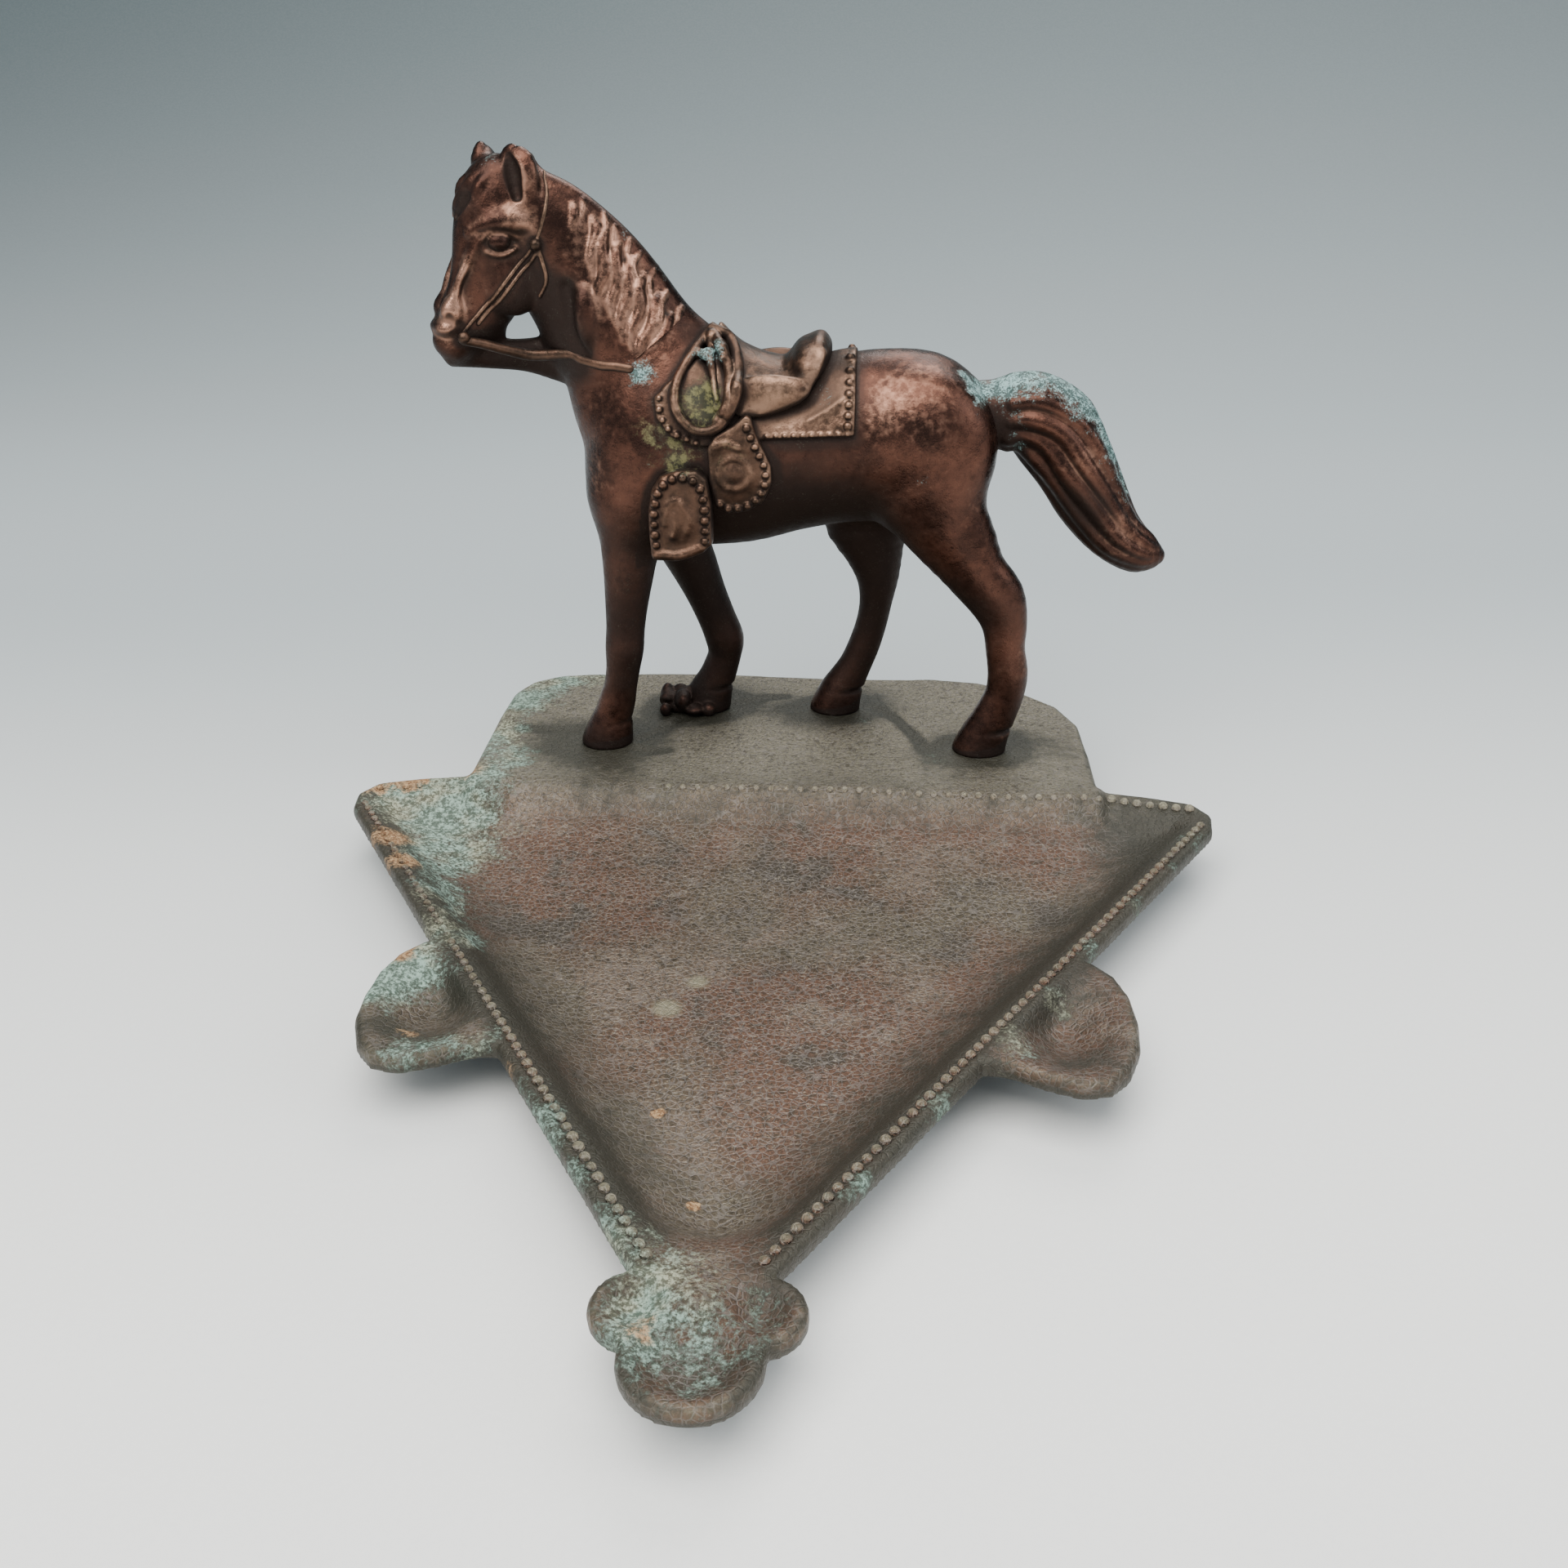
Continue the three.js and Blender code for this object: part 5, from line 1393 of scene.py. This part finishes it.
def tray_dirt_and_shade():
    """Darker round the hooves, along the outer edges and in patches on the rims and plinth; dirt in the
    scars; painted shade along the foot of each wall of the dish.
    """
    spots = []
    for hoof_y, _, rows in LEGS.values():
        spots += [(rows[-1][0] + ahead, hoof_y + 0.5 * ahead, PLINTH, 7.5, 0.7) for ahead in (-5, 0, 5)]
    # Painted shade along the foot of each wall of the dish.
    right_wall = ([(68, 38), (56, 18), (30, -22), (8, -56)], 0.22)
    left_wall = ([(-56, 20), (-30, -22), (-8, -56)], 0.16)
    back_wall = ([(-40, 43), (66, 43)], 0.2)
    for line, strength in (right_wall, left_wall, back_wall):
        spots += [(x, y, 6.0, 8.0, strength) for x, y in evenly(line, 7.0)]
    outer = ((59, -22), (52, -32), (44, -32), (9, -78), (7, -90))
    for side in (-1, 1):
        spots += [(side * x, y, 10.0, 5.0, 0.45) for x, y in evenly([(76, 42), (8, -70)], 5.0)]
        spots += [(side * x, y, 10.0, 5.0, 0.5) for x, y in outer]
    for scar in SCARS:
        spots += [(x, y, PLINTH, 1.1, 0.8) for x, y in evenly(scar, 0.9)]
    on_rim = [(48, -16, 9, 9, 0.4), (66, 36, 9, 9, 0.3), (-46, -20, 9, 8, 0.3), (0, -82, 9, 10, 0.25)]
    on_plinth = [(-46, 62, PLINTH, 12, 0.4), (-30, 50, PLINTH, 9, 0.3), (54, 60, PLINTH, 9, 0.35)]
    return spots + on_rim + on_plinth


def build_tray(tray, around):
    """The tray, and the beads along its rim, which are one mesh of closed balls."""
    # The tray's sides that look down or out get strong painted shade.
    piece("tray_casting", tray, tray.skin(), tray_metal, ["tray_casting"], "tray_bronze", around=around,
          green=TRAY_GREEN, ochre=TRAY_OCHRE, shade_and_dirt=tray_dirt_and_shade(), worn_and_highlit=TRAY_RUBBED, painted_shade_below=2.2)
    verts, faces, count = [], [], 0
    for place, radius in rim_beads(tray):
        ball, rings = bead(place, radius)
        verts.append(ball)
        faces += [[count + i for i in ring] for ring in rings]
        count += len(ball)
    piece("tray_beads", tray, (np.vstack(verts), faces), tray_metal, ["tray_casting"], "tray_bronze",
          green=TRAY_GREEN, ochre=TRAY_OCHRE, wear=0.5)


def make_body():
    body = Clay((-42, MID - 17, SOLE - 1), (46, MID + 17, 92), BODY_CELL)
    sculpt_horse(body)
    return body


def make_head():
    """The head and neck, with the shoulders that they are cut from, on a finer grid."""
    head = Clay((-66, MID - 18, 72), (-12, MID + 14, 120), HEAD_CELL)
    sculpt_horse(head)
    detail_head(head)
    detail_neck(head)
    return head


def make_tail():
    tail = Clay((32, MID - 10, 40), (73, MID + 10, 84), HEAD_CELL)
    sculpt_tail(tail)
    return tail


def build_all():
    body = make_body()
    head = make_head()
    tail = make_tail()
    blanket = make_blanket(body)
    covered = body.joined(blanket)
    seat = make_seat(covered)
    saddled = covered.joined(seat)
    cushioned = covered.joined(seat)
    cushioned.soften(1.3)
    fender = make_fender(cushioned)
    tapadero = make_tapadero()
    lariat = make_lariat(saddled)
    tray = make_tray()
    tack = {
        "saddle_blanket": (blanket, False), "saddle_seat": (seat, False), "fender_left": (fender, True),
        "tapadero_left": (tapadero, True), "lariat_coil": (lariat, False),
        "headstall": (make_headstall(head), False), "bit": (make_bit(), False),
        "reins": (make_reins(head), False),
    }
    clays = [clay for clay, _ in tack.values()]
    build_horse(body, head, tail, [*clays, Mirror(fender), Mirror(tapadero), tray])
    build_tack(tack, [body, head, *clays])
    build_tray(tray, [body])


def finish_screws():
    """The hoof screws are the CAD's own, in steel."""
    for name in ("front_left", "front_right", "hind_left", "hind_right"):
        for slot in bpy.data.objects["hoof_screw_" + name].material_slots:
            slot.material = steel


build_all()
finish_screws()


# ---- Stage --------------------------------------------------------------------------------------

def camera():
    """The photo's view: from beyond the tray's tip, a little to its right, looking 27 degrees down."""
    data = bpy.data.cameras.new("camera")
    data.sensor_width = 36
    data.lens = 36
    data.clip_start = 0.01
    obj = bpy.data.objects.new("camera", data)
    bpy.context.scene.collection.objects.link(obj)
    yaw, pitch, roll = (math.radians(a) for a in (-4.21, 27.02, 0.44))
    ahead = Vector((math.sin(yaw) * math.cos(pitch), math.cos(yaw) * math.cos(pitch), -math.sin(pitch)))
    right = Vector((math.cos(yaw), -math.sin(yaw), 0))
    down = ahead.cross(right)
    matrix = obj.matrix_world.to_3x3()
    matrix.col[0] = right * math.cos(roll) + down * math.sin(roll)
    matrix.col[1] = right * math.sin(roll) - down * math.cos(roll)
    matrix.col[2] = -ahead
    obj.matrix_world = matrix.to_4x4()
    obj.location = Vector((19.37, -207.7, 140.5)) * MM
    bpy.context.scene.camera = obj


def paper():
    """A pale sheet on the table that curves up behind the tray, painted darker and bluer towards the back
    and the left as painted shade.
    """
    flat, bend, rise, half = 0.35, 0.5, 1.6, 2.4
    profile = [(-1.2, 0.0), (flat, 0.0)]
    for k in range(1, 17):
        turn = math.radians(90 * k / 16)
        profile.append((flat + bend * math.sin(turn), bend * (1 - math.cos(turn))))
    profile.append((flat + bend, rise))
    verts = [(side * half, y, z) for y, z in profile for side in (-1, 1)]
    faces = [(2 * k, 2 * k + 1, 2 * k + 3, 2 * k + 2) for k in range(len(profile) - 1)]
    mesh = bpy.data.meshes.new("floor")
    mesh.from_pydata(verts, [], faces)
    mesh.shade_smooth()
    floor = bpy.data.objects.new("floor", mesh)
    bpy.context.scene.collection.objects.link(floor)
    s = Shader("paper_with_painted_shade")
    grain = s.noise(1.0, 3)
    across = s.node("ShaderNodeSeparateXYZ", Vector=s.place).outputs
    back = s.maths("SUBTRACT", across["Y"], s.maths("MULTIPLY", across["X"], 0.12))
    # Painted shade: the sheet darkens and turns blue-grey up the curve and towards the left.
    colour = s.blend(s.between(back, -0.12, 0.20), (0.95, 0.94, 0.91), (0.38, 0.42, 0.435))
    colour = s.blend(s.between(back, 0.18, 0.85), colour, (0.075, 0.10, 0.105))
    colour = s.blend(s.between(grain, 0.3, 0.7, 0.0, 0.04), colour, (0.5, 0.5, 0.5))
    mesh.materials.append(s.finish(colour, 0.85, 0.0, grain, 0.02))


def lamp(name, place, aim, size, power, colour):
    data = bpy.data.lights.new(name, "AREA")
    data.energy = power
    data.size = size
    data.color = colour
    obj = bpy.data.objects.new(name, data)
    obj.location = place
    obj.rotation_euler = (Vector(aim) - Vector(place)).to_track_quat("-Z", "Y").to_euler()
    bpy.context.scene.collection.objects.link(obj)


def studio():
    world = bpy.data.worlds.new("studio")
    world.use_nodes = True
    world.node_tree.nodes["Background"].inputs["Color"].default_value = (0.62, 0.72, 0.80, 1)
    world.node_tree.nodes["Background"].inputs["Strength"].default_value = 0.75
    bpy.context.scene.world = world
    middle = (0, 0, 0.05)
    lamp("overhead", (-0.08, -0.25, 0.85), middle, 0.9, 13.0, (1.0, 0.98, 0.94))
    lamp("front_left", (-0.45, -0.6, 0.65), middle, 0.5, 2.0, (1.0, 0.96, 0.91))
    lamp("back_glow", (0.1, 0.6, 0.7), middle, 0.5, 4.0, (1.0, 0.98, 0.95))
    lamp("right", (0.7, -0.1, 0.5), middle, 0.5, 2.0, (0.95, 0.98, 1.0))


camera()
paper()
studio()
